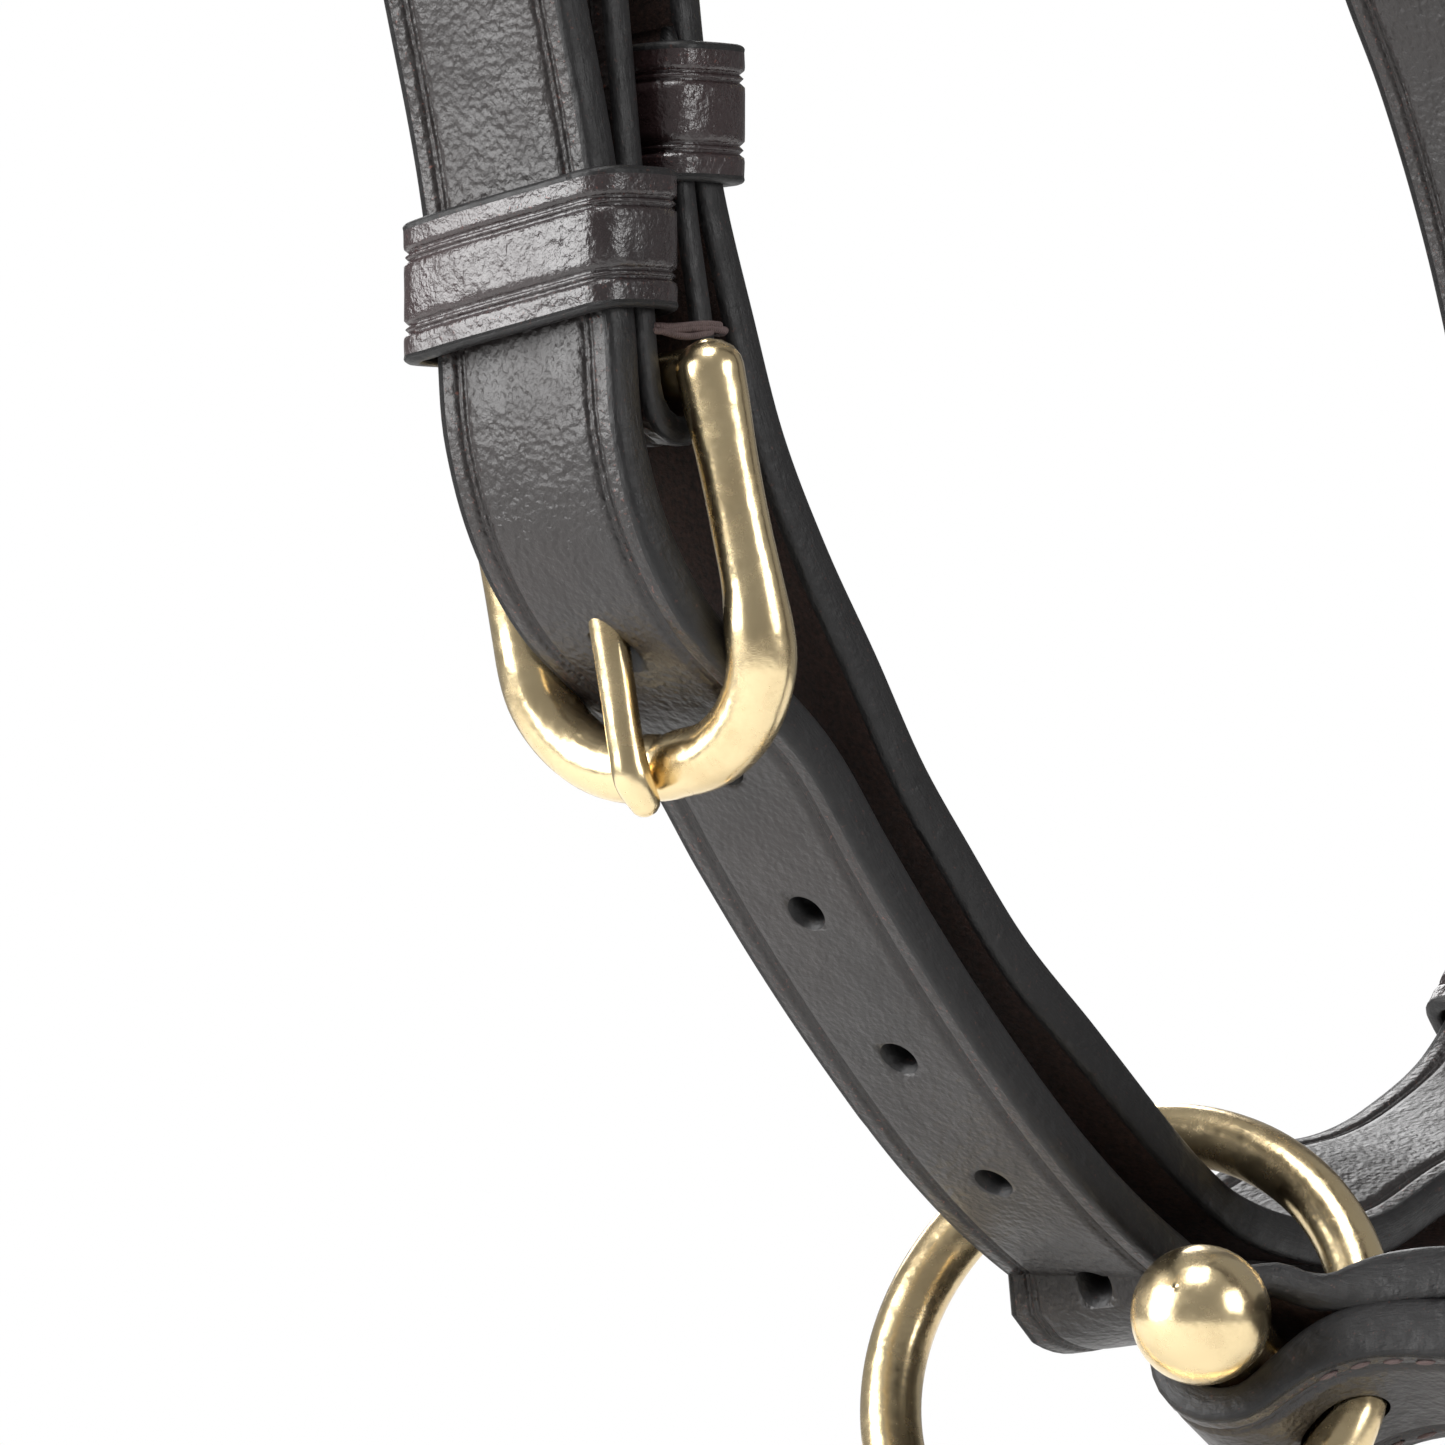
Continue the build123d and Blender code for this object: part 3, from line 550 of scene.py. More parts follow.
def joined(name, pieces):
    """Several mesh objects, with the same materials, made into the first one."""
    shape = bmesh.new()
    for piece in pieces:
        shape.from_mesh(piece.data)
    for piece in pieces[1:]:
        bpy.data.objects.remove(piece)
    shape.to_mesh(pieces[0].data)
    shape.free()
    pieces[0].name = pieces[0].data.name = name
    return pieces[0]


# %% Round bars and wire
def wire(name, rows, finish, closed=False, sides=28, cap=True):
    """A round bar along rows of (x, y, z, radius), with rounded ends."""
    rows = np.asarray(rows, float)
    at, radius = rows[:, :3], rows[:, 3].copy()
    if closed:
        ahead = unit(np.roll(at, -1, 0) - np.roll(at, 1, 0))
    else:
        ahead = unit(np.gradient(at, axis=0))
        if cap:
            turn = np.radians([8, 30, 52, 74])
            first = [(at[0] - ahead[0] * radius[0] * 0.9 * cos(t), radius[0] * sin(t)) for t in turn]
            last = [(at[-1] + ahead[-1] * radius[-1] * 0.9 * cos(t), radius[-1] * sin(t)) for t in turn[::-1]]
            at = np.vstack([[p for p, _ in first], at, [p for p, _ in last]])
            radius = np.concatenate([[r for _, r in first], radius, [r for _, r in last]])
            ahead = np.vstack([np.tile(ahead[0], (4, 1)), ahead, np.tile(ahead[-1], (4, 1))])
    side = unit(np.cross(ahead[0], X if abs(ahead[0][0]) < 0.8 else Y))
    frames = []
    for way in ahead:
        side = unit(side - way * side.dot(way))
        frames.append((side, np.cross(way, side)))
    if closed:
        lost = np.arctan2(np.dot(frames[-1][0], frames[0][1]), np.dot(frames[-1][0], frames[0][0]))
        fix = -lost * np.arange(len(frames)) / len(frames)
        frames = [(p * cos(f) + q * sin(f), q * cos(f) - p * sin(f)) for (p, q), f in zip(frames, fix)]
    around = np.linspace(0, 2 * pi, sides, endpoint=False)
    verts = np.vstack([at[i] + radius[i] * (np.cos(around)[:, None] * p + np.sin(around)[:, None] * q)
                       for i, (p, q) in enumerate(frames)])
    faces = faces_of_grid(len(at), sides, closed).tolist()
    if not closed:
        faces += [list(range(sides))[::-1], [(len(at) - 1) * sides + k for k in range(sides)]]
    return turned_outwards(make_object(name, verts, faces, [finish]))


# %% [markdown]
# ## The chin strap
# One long strap makes the whole chin piece: it holds the buckle in a turn, goes over the near
# square, down inside, round under the jaw to the far square, and back outside to the buckle.
# Its path is written as places to the left and up from the lead ring, each with a thickness,
# and its width lies from front to back. Both layers twist where they pass the lead ring.

# %% Path of the chin strap
NEAR_BAR, FAR_BAR, CHIN_HEEL = (71.7, 174.0), (-95.7, 174.0), (74.0, 109.1)
CHIN_LEAN = 0.127
buckle_turn = [(69.9, 147, 2.6), (69.6, 128, 3.0)] + arc(CHIN_HEEL, 4.55, 180, 180, 3.2)
outer_leg = [(78.6, 120, 3.4), (78.4, 139, 3.8), (78.0, 158, 4.0)]
inner_layer = [(65.9, 160, 4.4), (66.2, 151, 4.4), (65.2, 131, 4.2), (62.4, 117, 4.6), (59.2, 103.4, 5.2),
               (53.6, 91, 5.3), (46.9, 79.4, 5.4), (39.7, 66.5, 5.4), (33.6, 58.4, 5.4), (24.9, 47.7, 5.4),
               (13.1, 37.3, 5.4), (0.3, 26.7, 5.2), (-5.7, 21.9, 5.0), (-10.5, 18.6, 5.0), (-15.3, 16.5, 5.0),
               (-22.3, 14.6, 5.0), (-31, 13.4, 5.2), (-39, 14.0, 5.2), (-53, 18.7, 5.2), (-59.9, 20.9, 5.2),
               (-72, 25.0, 5.2), (-86, 31.6, 5.0), (-98.2, 43.2, 4.6), (-106.6, 61, 4.4), (-110.2, 88, 4.4),
               (-107.4, 121, 4.2), (-98.6, 152, 4.0), (-92.4, 166, 4.0)]
outer_layer = [(-101.6, 166, 4.0), (-104.9, 156, 4.2), (-112.2, 124, 4.4), (-115.2, 88, 4.4),
               (-111.4, 58.6, 4.6), (-102.2, 39.2, 4.8), (-88.6, 26.2, 5.0), (-74, 18.6, 5.2),
               (-60, 12.8, 5.2), (-48, 8.4, 5.2), (-38, 6.4, 5.2),
               (-30, 5.6, 5.2), (-22.2, 6.0, 5.2), (-16, 6.6, 5.2), (-9.8, 8.4, 5.2), (-1.6, 12.2, 5.2),
               (6.9, 17.3, 5.2), (16.2, 24.4, 5.2), (27.7, 35.4, 5.2), (39.6, 48.7, 5.2), (47.4, 58.6, 5.2),
               (56.0, 70.0, 5.0), (65.9, 78.0, 4.8), (74.7, 84.9, 4.8), (80.6, 94.0, 4.8), (83.2, 104.4, 4.8),
               (82.9, 115, 4.8), (83.3, 131, 4.8), (85.9, 151, 4.8), (88.4, 166, 4.8)]
chin_route = (buckle_turn + outer_leg + arc(NEAR_BAR, 5.5, 0, 180, 4.0) + inner_layer
              + arc(FAR_BAR, 5.4, 0, 180, 4.0) + outer_layer)


def chin_place(left, up, back=0.0):
    """A place on the chin strap's lean, from its distances left, up and back."""
    return np.array((12 + left, 28.27 - CHIN_LEAN * up + back, -500 + up))


chin_line = smooth_line([(*chin_place(left, up), thick) for left, up, thick in chin_route])
height = chin_line[:, 2] + 500
tilt_to_bars = np.clip((height - 130) / 35, 0, 1)[:, None]
chin_across = unit(Y + Z * CHIN_LEAN * tilt_to_bars)
left_of_ring = chin_line[:, 0] - 12
above_outer = (height > 13.5 + 0.75 * np.maximum(left_of_ring, -14)) & (height < 60)
under_ring = np.exp(-(((left_of_ring + 3.0) / 13.0) ** 2)) * above_outer
beyond_ring = np.exp(-(((left_of_ring + 44.0) / 14.0) ** 2)) * (height < 60)
TWIST_DROP, TWIST_LIFT = 3.3, 2.4    # the far edge dips under the ring and lifts beyond it
twist = under_ring * TWIST_DROP - beyond_ring * TWIST_LIFT
chin_across = unit(chin_across + Z * (twist / 12.7)[:, None])
chin_line[:, 2] -= twist
chin_leather = strap("chin_strap_leather", chin_line, chin_across, tips=(0, 12))
print("chin strap is", length_of(chin_line), "mm long")

# %% Holes in the chin strap
HOLE_R = 2.35


def punch(at, way, radius=HOLE_R, reach=6.0):
    """A round punch through a place, in a direction."""
    way = unit(way)
    ends = [(*(np.asarray(at) + way * distance), radius) for distance in (-reach, reach)]
    return wire("punch", ends, edge_dye, cap=False, sides=32)


chin_holes = [(0.3, 10.0, 38), (16.9, 22.1, 46), (31.0, 36.9, 47), (45.2, 52.9, 48), (57.8, 68.2, 47)]
punches = [punch(chin_place(left - 1.2 * sin(radians(slope)), up + 1.2 * cos(radians(slope))),
                 (sin(radians(slope)), 0, -cos(radians(slope))), reach=4.4) for left, up, slope in chin_holes]
heel_at = chin_place(*CHIN_HEEL)
chin_forward = unit((-0.153, 0.1256, -0.980))
chin_out = unit(np.cross(Y, chin_forward) * -1)
chin_out = chin_out if chin_out[0] > 0 else -chin_out
print("buckle points", chin_forward.round(2), "and faces", chin_out.round(2))
chin_tongue_hole = [punch(heel_at + chin_forward * 30 + chin_out * 4.2, chin_forward, 2.5, 12)]
punched(chin_leather, punches + chin_tongue_hole)
print("chin strap has", len(chin_leather.data.polygons), "faces")
dressed(chin_leather, "leatherwork", "chin_strap")

# %% [markdown]
# ## Keepers
# A keeper is a narrow strip bent round the strap and stitched into a loop. It is the same swept
# section, closed on itself along a rounded rectangle, a little domed and with its own creases.


# %% Keeper loops
def keeper(name, middle, half_out, half_wide, out, back, width=15.2, thick=2.1, lean=0.0,
           node=None, body="leatherwork"):
    """A loop round a strap: out is through the strap, back is across it, lean tilts the loop."""
    out, back = unit(out), unit(back)
    corner, rows = 2.6, []
    reach_out, reach_back = half_out + thick / 2, half_wide + thick / 2
    for quarter, (sign_out, sign_back) in enumerate(((1, 1), (-1, 1), (-1, -1), (1, -1))):
        for t in np.radians(90 * quarter + np.linspace(0, 90, 7)):
            o = sign_out * (reach_out - corner) + corner * cos(t)
            b = sign_back * (reach_back - corner) + corner * sin(t)
            rows.append((o, b))
    rows = np.array(rows + [rows[0]])
    rows[:, 0] += 0.35 * np.sign(rows[:, 0]) * (1 - (rows[:, 1] / reach_back) ** 2).clip(0)
    along = unit(np.cross(out, back))
    path = np.asarray(middle) + rows[:, :1] * out + rows[:, 1:] * (back + lean * along)
    line = smooth_line(np.hstack([path, np.full((len(path), 1), thick)]), 0.8)[:-1]
    flip = np.cross(along, line[1, :3] - line[0, :3]).dot(line[0, :3] - middle)
    if flip < 0:
        line = line[::-1]
    loop = strap(name, line, along, wide=width, crease=1.25, closed=True, finish=keeper_hide)
    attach(loop, body)
    if node:
        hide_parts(node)


keeper("chin_front_keeper_loop", chin_place(81.0, 122.4), 4.9, 13.2, X, Y, lean=0.2,
       node="chin_front_keeper")
keeper("chin_back_keeper_loop", chin_place(66.6, 138.6), 4.7, 13.2, X, Y, lean=0.05,
       node="chin_back_keeper")
keeper("chin_off_keeper_loop", chin_place(-99.4, 39.9), 5.6, 13.1, (0.72, 0, 0.694), Y,
       node="chin_off_keeper")
print("keepers round the chin strap made")

# %% [markdown]
# ## Buckles
# A half buckle is cast in one piece: the legs swell a little where the bar goes through and again
# at the corners of the front. The tongue is bent round the bar, leaves the leather through its
# hole and lies on the front of the frame, a little thinner at its tip.


# %% Buckle frame and tongue
def frame_of(origin, forward, wide):
    """Three directions of a buckle at its heel bar: forward, across and out."""
    forward, wide = unit(forward), unit(wide)
    wide = unit(wide - forward * forward.dot(wide))
    return np.asarray(origin, float), forward, wide, np.cross(forward, wide)


LEG, FRONT, CORNER_R, HEEL_R = 16.6, 41.4, 14.0, 2.72


def buckle(name, heel, node, body="leatherwork"):
    """The cast frame with its heel bar."""
    origin, forward, wide, _ = heel
    rows = [(0.0, LEG, 3.75), (3, LEG, 3.65), (9, LEG, 3.35), (17, LEG, 3.25), (25, LEG, 3.5),
            (FRONT - CORNER_R, LEG - 0.2, 3.75)]
    for t in np.radians([18, 36, 54, 72]):
        rows.append((FRONT - CORNER_R * (1 - sin(t)), LEG - CORNER_R * (1 - cos(t)), 3.85 - 0.15 * sin(t)))
    rows += [(FRONT, LEG - CORNER_R - 1.5, 3.65), (FRONT + 0.2, 0, 3.55)]
    rows += [(f, -w, r) for f, w, r in rows[-2::-1]]
    line = smooth_line([(*(origin + forward * f + wide * w), r) for f, w, r in rows], 0.9)
    shape = wire(name, line, brass)
    bar = wire("bar", [(*(origin + wide * w), HEEL_R) for w in np.linspace(-LEG, LEG, 12)], brass, cap=False)
    joined(name, [shape, bar])
    dressed(shape, body, node)


def tongue(name, heel, node, body):
    """The tongue: a hoop round the bar and a shaft that lies on the front of the frame."""
    origin, forward, _, out = heel
    hoop = [(4.05 * cos(t), 4.05 * sin(t), 1.28) for t in np.radians(np.linspace(95, 395, 22))]
    hoop_line = [(*(origin + forward * f + out * o), r) for f, o, r in hoop]
    loop = wire("hoop", smooth_line(hoop_line, 0.6), brass, sides=20)
    shaft = [(0.6, 4.1, 1.5), (3.5, 4.35, 1.9), (12, 4.7, 2.1), (24, 5.2, 2.1), (33, 5.8, 2.0),
             (38.5, 6.2, 2.0), (42, 6.1, 2.1), (44.6, 4.9, 1.7)]
    line = smooth_line([(*(origin + forward * f + out * o), r) for f, o, r in shaft], 0.6)
    shape = joined(name, [wire(name, line, brass, sides=24), loop])
    dressed(shape, body, node)


chin_heel = frame_of(heel_at, chin_forward, Y if np.cross(chin_forward, Y).dot(X) > 0 else -Y)
buckle("chin_buckle_frame", chin_heel, "chin_buckle")
tongue("chin_buckle_tongue_brass", chin_heel, "chin_buckle_tongue", "chin_tongue")
print("chin buckle faces", chin_heel[3].round(2))

# %% [markdown]
# ## Rings
# The lead ring, the cheek rings and the squares are bent wire. A ring is a rule, a circle
# carried round a circle, so a Geometry Nodes tree makes it from its radius and wire.


# %% The ring tree
def ring_tree():
    """Bend a round wire into a ring about the Z axis, then place it."""
    tree = bpy.data.node_groups.new("bend_ring", "GeometryNodeTree")
    for name, kind in (("Radius", "Float"), ("Wire", "Float"), ("Middle", "Vector"), ("Turn", "Rotation"),
                       ("Finish", "Material")):
        tree.interface.new_socket(name, in_out="INPUT", socket_type="NodeSocket" + kind)
    tree.interface.new_socket("Ring", in_out="OUTPUT", socket_type="NodeSocketGeometry")
    add = tree.nodes.new
    get, give = add("NodeGroupInput"), add("NodeGroupOutput")
    loop, bar = add("GeometryNodeCurvePrimitiveCircle"), add("GeometryNodeCurvePrimitiveCircle")
    loop.inputs["Resolution"].default_value = 160
    bar.inputs["Resolution"].default_value = 36
    bend, put = add("GeometryNodeCurveToMesh"), add("GeometryNodeTransform")
    smooth, dress = add("GeometryNodeSetShadeSmooth"), add("GeometryNodeSetMaterial")
    real = add("GeometryNodeRealizeInstances")
    for start, end in ((get.outputs["Radius"], loop.inputs["Radius"]),
                       (get.outputs["Wire"], bar.inputs["Radius"]),
                       (loop.outputs[0], bend.inputs[0]), (bar.outputs[0], bend.inputs[1]),
                       (bend.outputs[0], put.inputs["Geometry"]),
                       (get.outputs["Middle"], put.inputs["Translation"]),
                       (get.outputs["Turn"], put.inputs["Rotation"]), (put.outputs[0], smooth.inputs[0]),
                       (smooth.outputs[0], real.inputs[0]), (real.outputs[0], dress.inputs["Geometry"]),
                       (get.outputs["Finish"], dress.inputs["Material"]), (dress.outputs[0], give.inputs[0])):
        tree.links.new(start, end)
    return tree


RINGS = ring_tree()


def ring(name, middle, axis, radius, bar, node=None, body=None):
    """A ring of wire about an axis; without a node it is only a tool."""
    shape = make_object(name, [(0, 0, 0)], [], [brass])
    turn = Vector(axis).to_track_quat("Z", "Y").to_euler()
    made_plain(shape, RINGS, {"Radius": radius * MM, "Wire": bar * MM, "Turn": list(turn), "Finish": brass,
                              "Middle": [float(c) * MM for c in middle]})
    turned_outwards(shape)
    if node:
        dressed(shape, body, node)
    return shape


LEAD_RING_R = 28.9       # of the middle of its wire
RING_CENTRE = np.array((12.0, 31.0, -499.6))
RING_AXIS = unit((0.883, 0.188, 0.430))
RING_BACK = unit(Y - RING_AXIS * RING_AXIS[1])
RING_UP = np.cross(RING_AXIS, RING_BACK)
SQUARE_X = 83.7          # from the middle of the headcollar out to the squares and cheek rings
ring("lead_ring_brass", RING_CENTRE, RING_AXIS, LEAD_RING_R, 3.5, "lead_ring", "lead_ring")
for side, word in ((1, "near"), (-1, "off")):
    ring(word + "_cheek_ring_brass", (side * SQUARE_X, 33.0, -196.0), X, 14.5, 2.4,
         word + "_cheek_ring", word + "_ring")
print("ring axis", RING_AXIS.round(3), "up", RING_UP.round(3))

# %% Ring stop and squares
STOP_BACK, STOP_UP = 17.7, 0.4       # middle of the stop, in the plane of the ring
stop_at = RING_CENTRE + RING_BACK * STOP_BACK + RING_UP * STOP_UP
STOP_R, STOP_HALF, BALL_R = 4.9, 20.0, 7.8
ball_turn = np.radians(np.concatenate([[0.6, 5, 12], np.linspace(20, 136, 20)]))
stop_rows = [(STOP_HALF + BALL_R * cos(t), BALL_R * sin(t)) for t in ball_turn]
stop_rows += [(13.6, 5.0), (12.6, STOP_R), (6, STOP_R)]
stop_rows = [(-d, r) for d, r in stop_rows] + stop_rows[::-1]
lead_stop = wire("lead_ring_stop_brass", [(*(stop_at + RING_AXIS * d), r) for d, r in stop_rows],
                 brass, sides=48, cap=False)
dressed(lead_stop, "lead_stop", "lead_ring_stop")

SIDE, BEND_R = 36.0, 3.8             # a square's side on centres, and its corners' radius
LEAN_BACK, LEAN_UP = np.array((0, 0.99189, 0.12706)), np.array((0, -0.12706, 0.99189))
square_middle = np.array((0, 2.276, -308.168))
straight = SIDE / 2 - BEND_R
square_line = []
for quarter, (sign_b, sign_u) in enumerate(((1, 1), (-1, 1), (-1, -1), (1, -1))):
    for t in np.radians(90 * quarter + np.linspace(0, 90, 8)):
        square_line.append((sign_b * straight + BEND_R * cos(t), sign_u * straight + BEND_R * sin(t)))
square_line.append(square_line[0])
for side, word in ((1, "near"), (-1, "off")):
    middle = square_middle + X * side * SQUARE_X
    places = [(*(middle + LEAN_BACK * b + LEAN_UP * u), 3.0) for b, u in square_line]
    square = wire(word + "_square_brass", smooth_line(places, 1.0)[:-1], brass, closed=True)
    dressed(square, "leatherwork", word + "_square")
print("squares", SIDE, "mm on centres")

# %% [markdown]
# ## The backstay
# A strap from the throatlash down to the lead ring. Its lower end is folded round the ring stop
# and stitched to itself, and the ring runs through both layers of the fold, so the slots are cut
# with a ring a little thicker than the real one.


# %% Folding the backstay
def in_ring(back, up, thick):
    """A place and thickness from distances back and up in the plane of the lead ring."""
    return (*(RING_CENTRE + RING_BACK * back + RING_UP * up), thick)


FOLD_END = (49.5, 5.8, 4.4)
fold = [FOLD_END, (44.4, 5.4, 7.0), (39.7, 5.0, 7.0), (35, 4.3, 6.8), (31.5, 3.1, 6.6), (28.6, 1.3, 6.0),
        (26.4, -0.7, 5.2), (24.3, -3.1, 4.6), (21.6, -5.9, 4.3)]
fold += arc((STOP_BACK, STOP_UP), 7.4, 270, -180, 4.2)
fold += [(21.5, 8.6, 4.1), (24.8, 7.9, 4.1), (28.3, 7.9, 4.7), (31, 8.9, 5.8), (33.6, 9.9, 6.4),
         (37, 10.9, 6.6), (41, 11.8, 6.4), (46, 12.3, 5.6)]
rise = [(62, 20, 0.12), (73, 42, 0.35), (74, 80, 0.7), (63, 118, 0.9), (51, 146, 1.0), (43, 172, 1.0),
        (40.5, 187, 1.0)]
join_x = in_ring(*FOLD_END)[0]
backstay_rows = [in_ring(*row) for row in fold[::-1]]
backstay_rows += [(join_x * (1 - mix), 31 + back, -500 + up, 4.4) for back, up, mix in rise]
backstay_line = smooth_line(backstay_rows)
fold_end = np.linalg.norm(backstay_line[:, :3] - in_ring(*FOLD_END)[:3], axis=1).argmin()
beyond = len(backstay_line) - fold_end
untwist = np.clip((np.arange(len(backstay_line)) - fold_end) / (0.7 * beyond), 0, 1)[:, None]
untwist = untwist * untwist * (3 - 2 * untwist)
backstay_across = -unit(RING_AXIS * (1 - untwist) + X * untwist)
backstay = strap("backstay_leather", backstay_line, backstay_across)
punched(backstay, [ring("slot_tool", RING_CENTRE, RING_AXIS, LEAD_RING_R, 3.95)])
THROAT_AT = np.array((0, 71.0, -302.0))
THROAT_UP = unit((0, -38.0, 106.0))
THROAT_WIDE = unit(np.cross(THROAT_UP, X))
keeper("backstay_throat_loop", THROAT_AT, 4.1, 10.6, THROAT_UP, THROAT_WIDE, width=25.4, thick=3.4)
dressed(backstay, "leatherwork", "backstay")
print("backstay", length_of(backstay_line), "mm of strap")

# %% [markdown]
# ## Cheek pieces and headpiece
# Each cheek piece is a belt of strap closed on itself, round the buckle's bar above and the
# square below, and stitched through both layers. The headpiece is one strap over the poll with a
# pointed, punched billet on each side that goes through the buckle and two keepers.


# %% Cheek pieces, crown buckles and their keepers
def tongue_hole(heel):
    """Punches that let a tongue through the billet, lying down and lifted."""
    origin, forward, _, out = heel
    lifted = unit(forward + out * 0.09)
    return [punch(origin + forward * 22.5 + out * 5.0, forward, 2.45, 8),
            punch(origin + lifted * 22.5 + out * 5.0, lifted, 2.45, 8)]


HEEL_Z, BAR_Z = -150.0, -290.3
belt = ([(2.15, z, 4.0) for z in (-272, -240, -205, -172)] + [(2.9, -164, 4.0), (4.7, -156, 4.0)]
        + arc((0, HEEL_Z), 5.15, 0, 180, 4.0) + [(-4.7, -156, 4.0), (-2.9, -164, 4.0)]
        + [(-2.15, z, 4.0) for z in (-172, -205, -240, -272)] + [(-3.4, -279, 4.0), (-6.2, -285.5, 4.0)]
        + arc((0, BAR_Z), 6.9, 180, 180, 4.0) + [(6.2, -285.5, 4.0), (3.4, -279, 4.0), (2.15, -272, 4.0)])
crown_heels = {}
for side, word in ((1, "near"), (-1, "off")):
    rows = [(side * (SQUARE_X + x), 0, z, thick) for x, z, thick in belt]
    cheek = strap(word + "_cheek_leather", smooth_line(rows)[:-1], side * Y, closed=True)
    heel = frame_of((side * SQUARE_X, 0, HEEL_Z), (side * 0.12, 0, 0.9928), -side * Y)
    crown_heels[word] = heel
    punched(cheek, [ring("slot_tool", heel[0], heel[2], 5.15, 2.6)])
    dressed(cheek, "leatherwork", word + "_cheek_piece")
    buckle(word + "_crown_buckle_frame", heel, word + "_crown_buckle")
    tongue(word + "_crown_tongue_brass", heel, word + "_crown_buckle_tongue", word + "_tongue")
    for kind, z, body in (("fixed", -171.0, "leatherwork"), ("runner", -215.0, word + "_runner")):
        keeper(word + "_" + kind + "_keeper_loop", (side * 87.2, 0, z), 7.7, 13.15, X, Y, thick=1.8,
               node=word + "_" + kind + "_keeper", body=body)
print("crown buckles face", crown_heels["near"][3].round(2), crown_heels["off"][3].round(2))

# %% Headpiece
billet = [(90.6, -246), (90.6, -228), (90.6, -205), (91.0, -172), (93.2, -158), (93.6, -147),
          (92.2, -137.5), (88.8, -129.0), (83.4, -118.5), (79.4, -101), (75.6, -80), (70.4, -56),
          (52, -18), (28, -3.2)]
crown = [(x, 0, z, 4.0) for x, z in billet] + [(0, 0, 2, 4.2)] + [(-x, 0, z, 4.0) for x, z in billet[::-1]]
head_leather = strap("headpiece_leather", smooth_line(crown), Y, tips=(14, 14))
tools = []
for side, word in ((1, "near"), (-1, "off")):
    tools += tongue_hole(crown_heels[word])
    tools += [punch((side * 86, 0, z), X, HOLE_R, 9) for z in (-183.2, -161.6, -110.4, -88.8)]
punched(head_leather, tools)
dressed(head_leather, "leatherwork", "headpiece")
print("headpiece punched with", len(tools), "tools")

# %% [markdown]
# ## Noseband, tabs and throatlash
# The noseband is a strap with a softer lining behind it; its ends are cut narrower, turned round
# the front bars of the squares and stitched back. The throatlash hangs from the far cheek ring
# in a stitched turn, and its near end holds the snap hook's eye.

# %% Noseband and lining
NOSE_Z, FRONT_BAR_Y = -308.17, -15.58
near_half = ([(78.4, -64, 2.2, 25.0), (79.0, -46, 2.6, 24.0), (79.2, -29, 3.0, 19.0)]
             + [(*row, 17.4) for row in arc((SQUARE_X, FRONT_BAR_Y), 6.3, 200, -215, 3.6)]
             + [(86.0, -27, 4.0, 18.5), (83.6, -42, 4.2, 25.4), (82.4, -70, 4.4, 25.4),
                (76.5, -98, 4.4, 25.4), (64, -122, 4.4, 25.4), (36, -143, 4.4, 25.4)])
nose_rows = [(x, y, NOSE_Z, thick, wide) for x, y, thick, wide in near_half]
nose_rows += [(0, -150.2, NOSE_Z, 4.4, 25.4)]
nose_rows += [(-x, y, NOSE_Z, thick, wide) for x, y, thick, wide in near_half[::-1]]
nose_line = smooth_line(nose_rows)
nose_leather = strap("noseband_leather", nose_line[:, :4], Z, wide=nose_line[:, 4])
dressed(nose_leather, "leatherwork", "noseband")
LINING_IN = 4.0
inside = nose_line[nose_line[:, 1] < -72]
inward = unit(np.cross(np.gradient(inside[:, :3], axis=0), Z))
lining_line = np.hstack([inside[:, :3] + inward * LINING_IN, np.full((len(inside), 1), 2.8)])
lining = strap("noseband_lining_leather", lining_line, -Z, wide=25.2, crease=0.3, finish=lining_hide)
dressed(lining, "leatherwork", "noseband_lining")
print("lining lies", LINING_IN, "mm inside; it has", len(inside), "places")

# %% Ring tabs
for side, word in ((1, "near"), (-1, "off")):
    tab_rows = ([(1.5, 8.6, 2.4), (1.8, 11.5, 2.4), (3.3, 15.2, 2.5)] + arc((0, 18.5), 4.2, -20, 220, 2.6)
                + [(-3.3, 15.2, 2.5), (-1.8, 11.5, 2.4), (-1.5, 8.6, 2.4)])
    rows = [(side * (SQUARE_X + x), y, -196.0, thick) for x, y, thick in tab_rows]
    tab = strap(word + "_ring_tab_leather", smooth_line(rows, 0.8), -Z * side, wide=12.0, crease=0.6)
    dressed(tab, "leatherwork", word + "_ring_tab")

# %% Throatlash
OFF_END, NEAR_END = 98.1, 36.1
throat_path = [(-79.6, 60, 2.4), (-79.9, 78, 2.8), (-79.6, 90, 3.0)]
throat_path += arc((-SQUARE_X, OFF_END), 4.7, 0, 180, 3.4)
throat_path += [(-87.4, 88, 3.6), (-84.0, 72, 3.8), (-80.4, 56, 4.0), (-72, 36, 4.0), (-58, 18, 4.0),
                (-32, 4.6, 4.0), (0, 0, 4.0), (32, 4.4, 4.0), (58, 13.2, 4.0), (72, 19.4, 4.0),
                (82, 26.0, 3.8), (87.2, 31.4, 3.6)]
throat_path += arc((SQUARE_X, NEAR_END), 4.6, -5, 195, 3.4)
throat_path += [(77.6, 29.6, 3.0), (70, 23.2, 2.8), (60, 18.0, 2.4)]
throat_rows = [(*(THROAT_AT + X * x + THROAT_UP * up), thick) for x, up, thick in throat_path]
throat_line = smooth_line(throat_rows)
throat_leather = strap("throatlash_leather", throat_line, THROAT_WIDE, wide=19.0)
dressed(throat_leather, "leatherwork", "throatlash")
print("throatlash", length_of(throat_line), "mm of strap")

# %% [markdown]
# ## Stitching
# Saddle stitches are short, fat, slightly slanted and sunk at their ends. They repeat evenly
# along a row, which is work for Geometry Nodes: a row is a line of edges that carries the
# direction its leather faces, and the tree puts one stitch at every step along it.


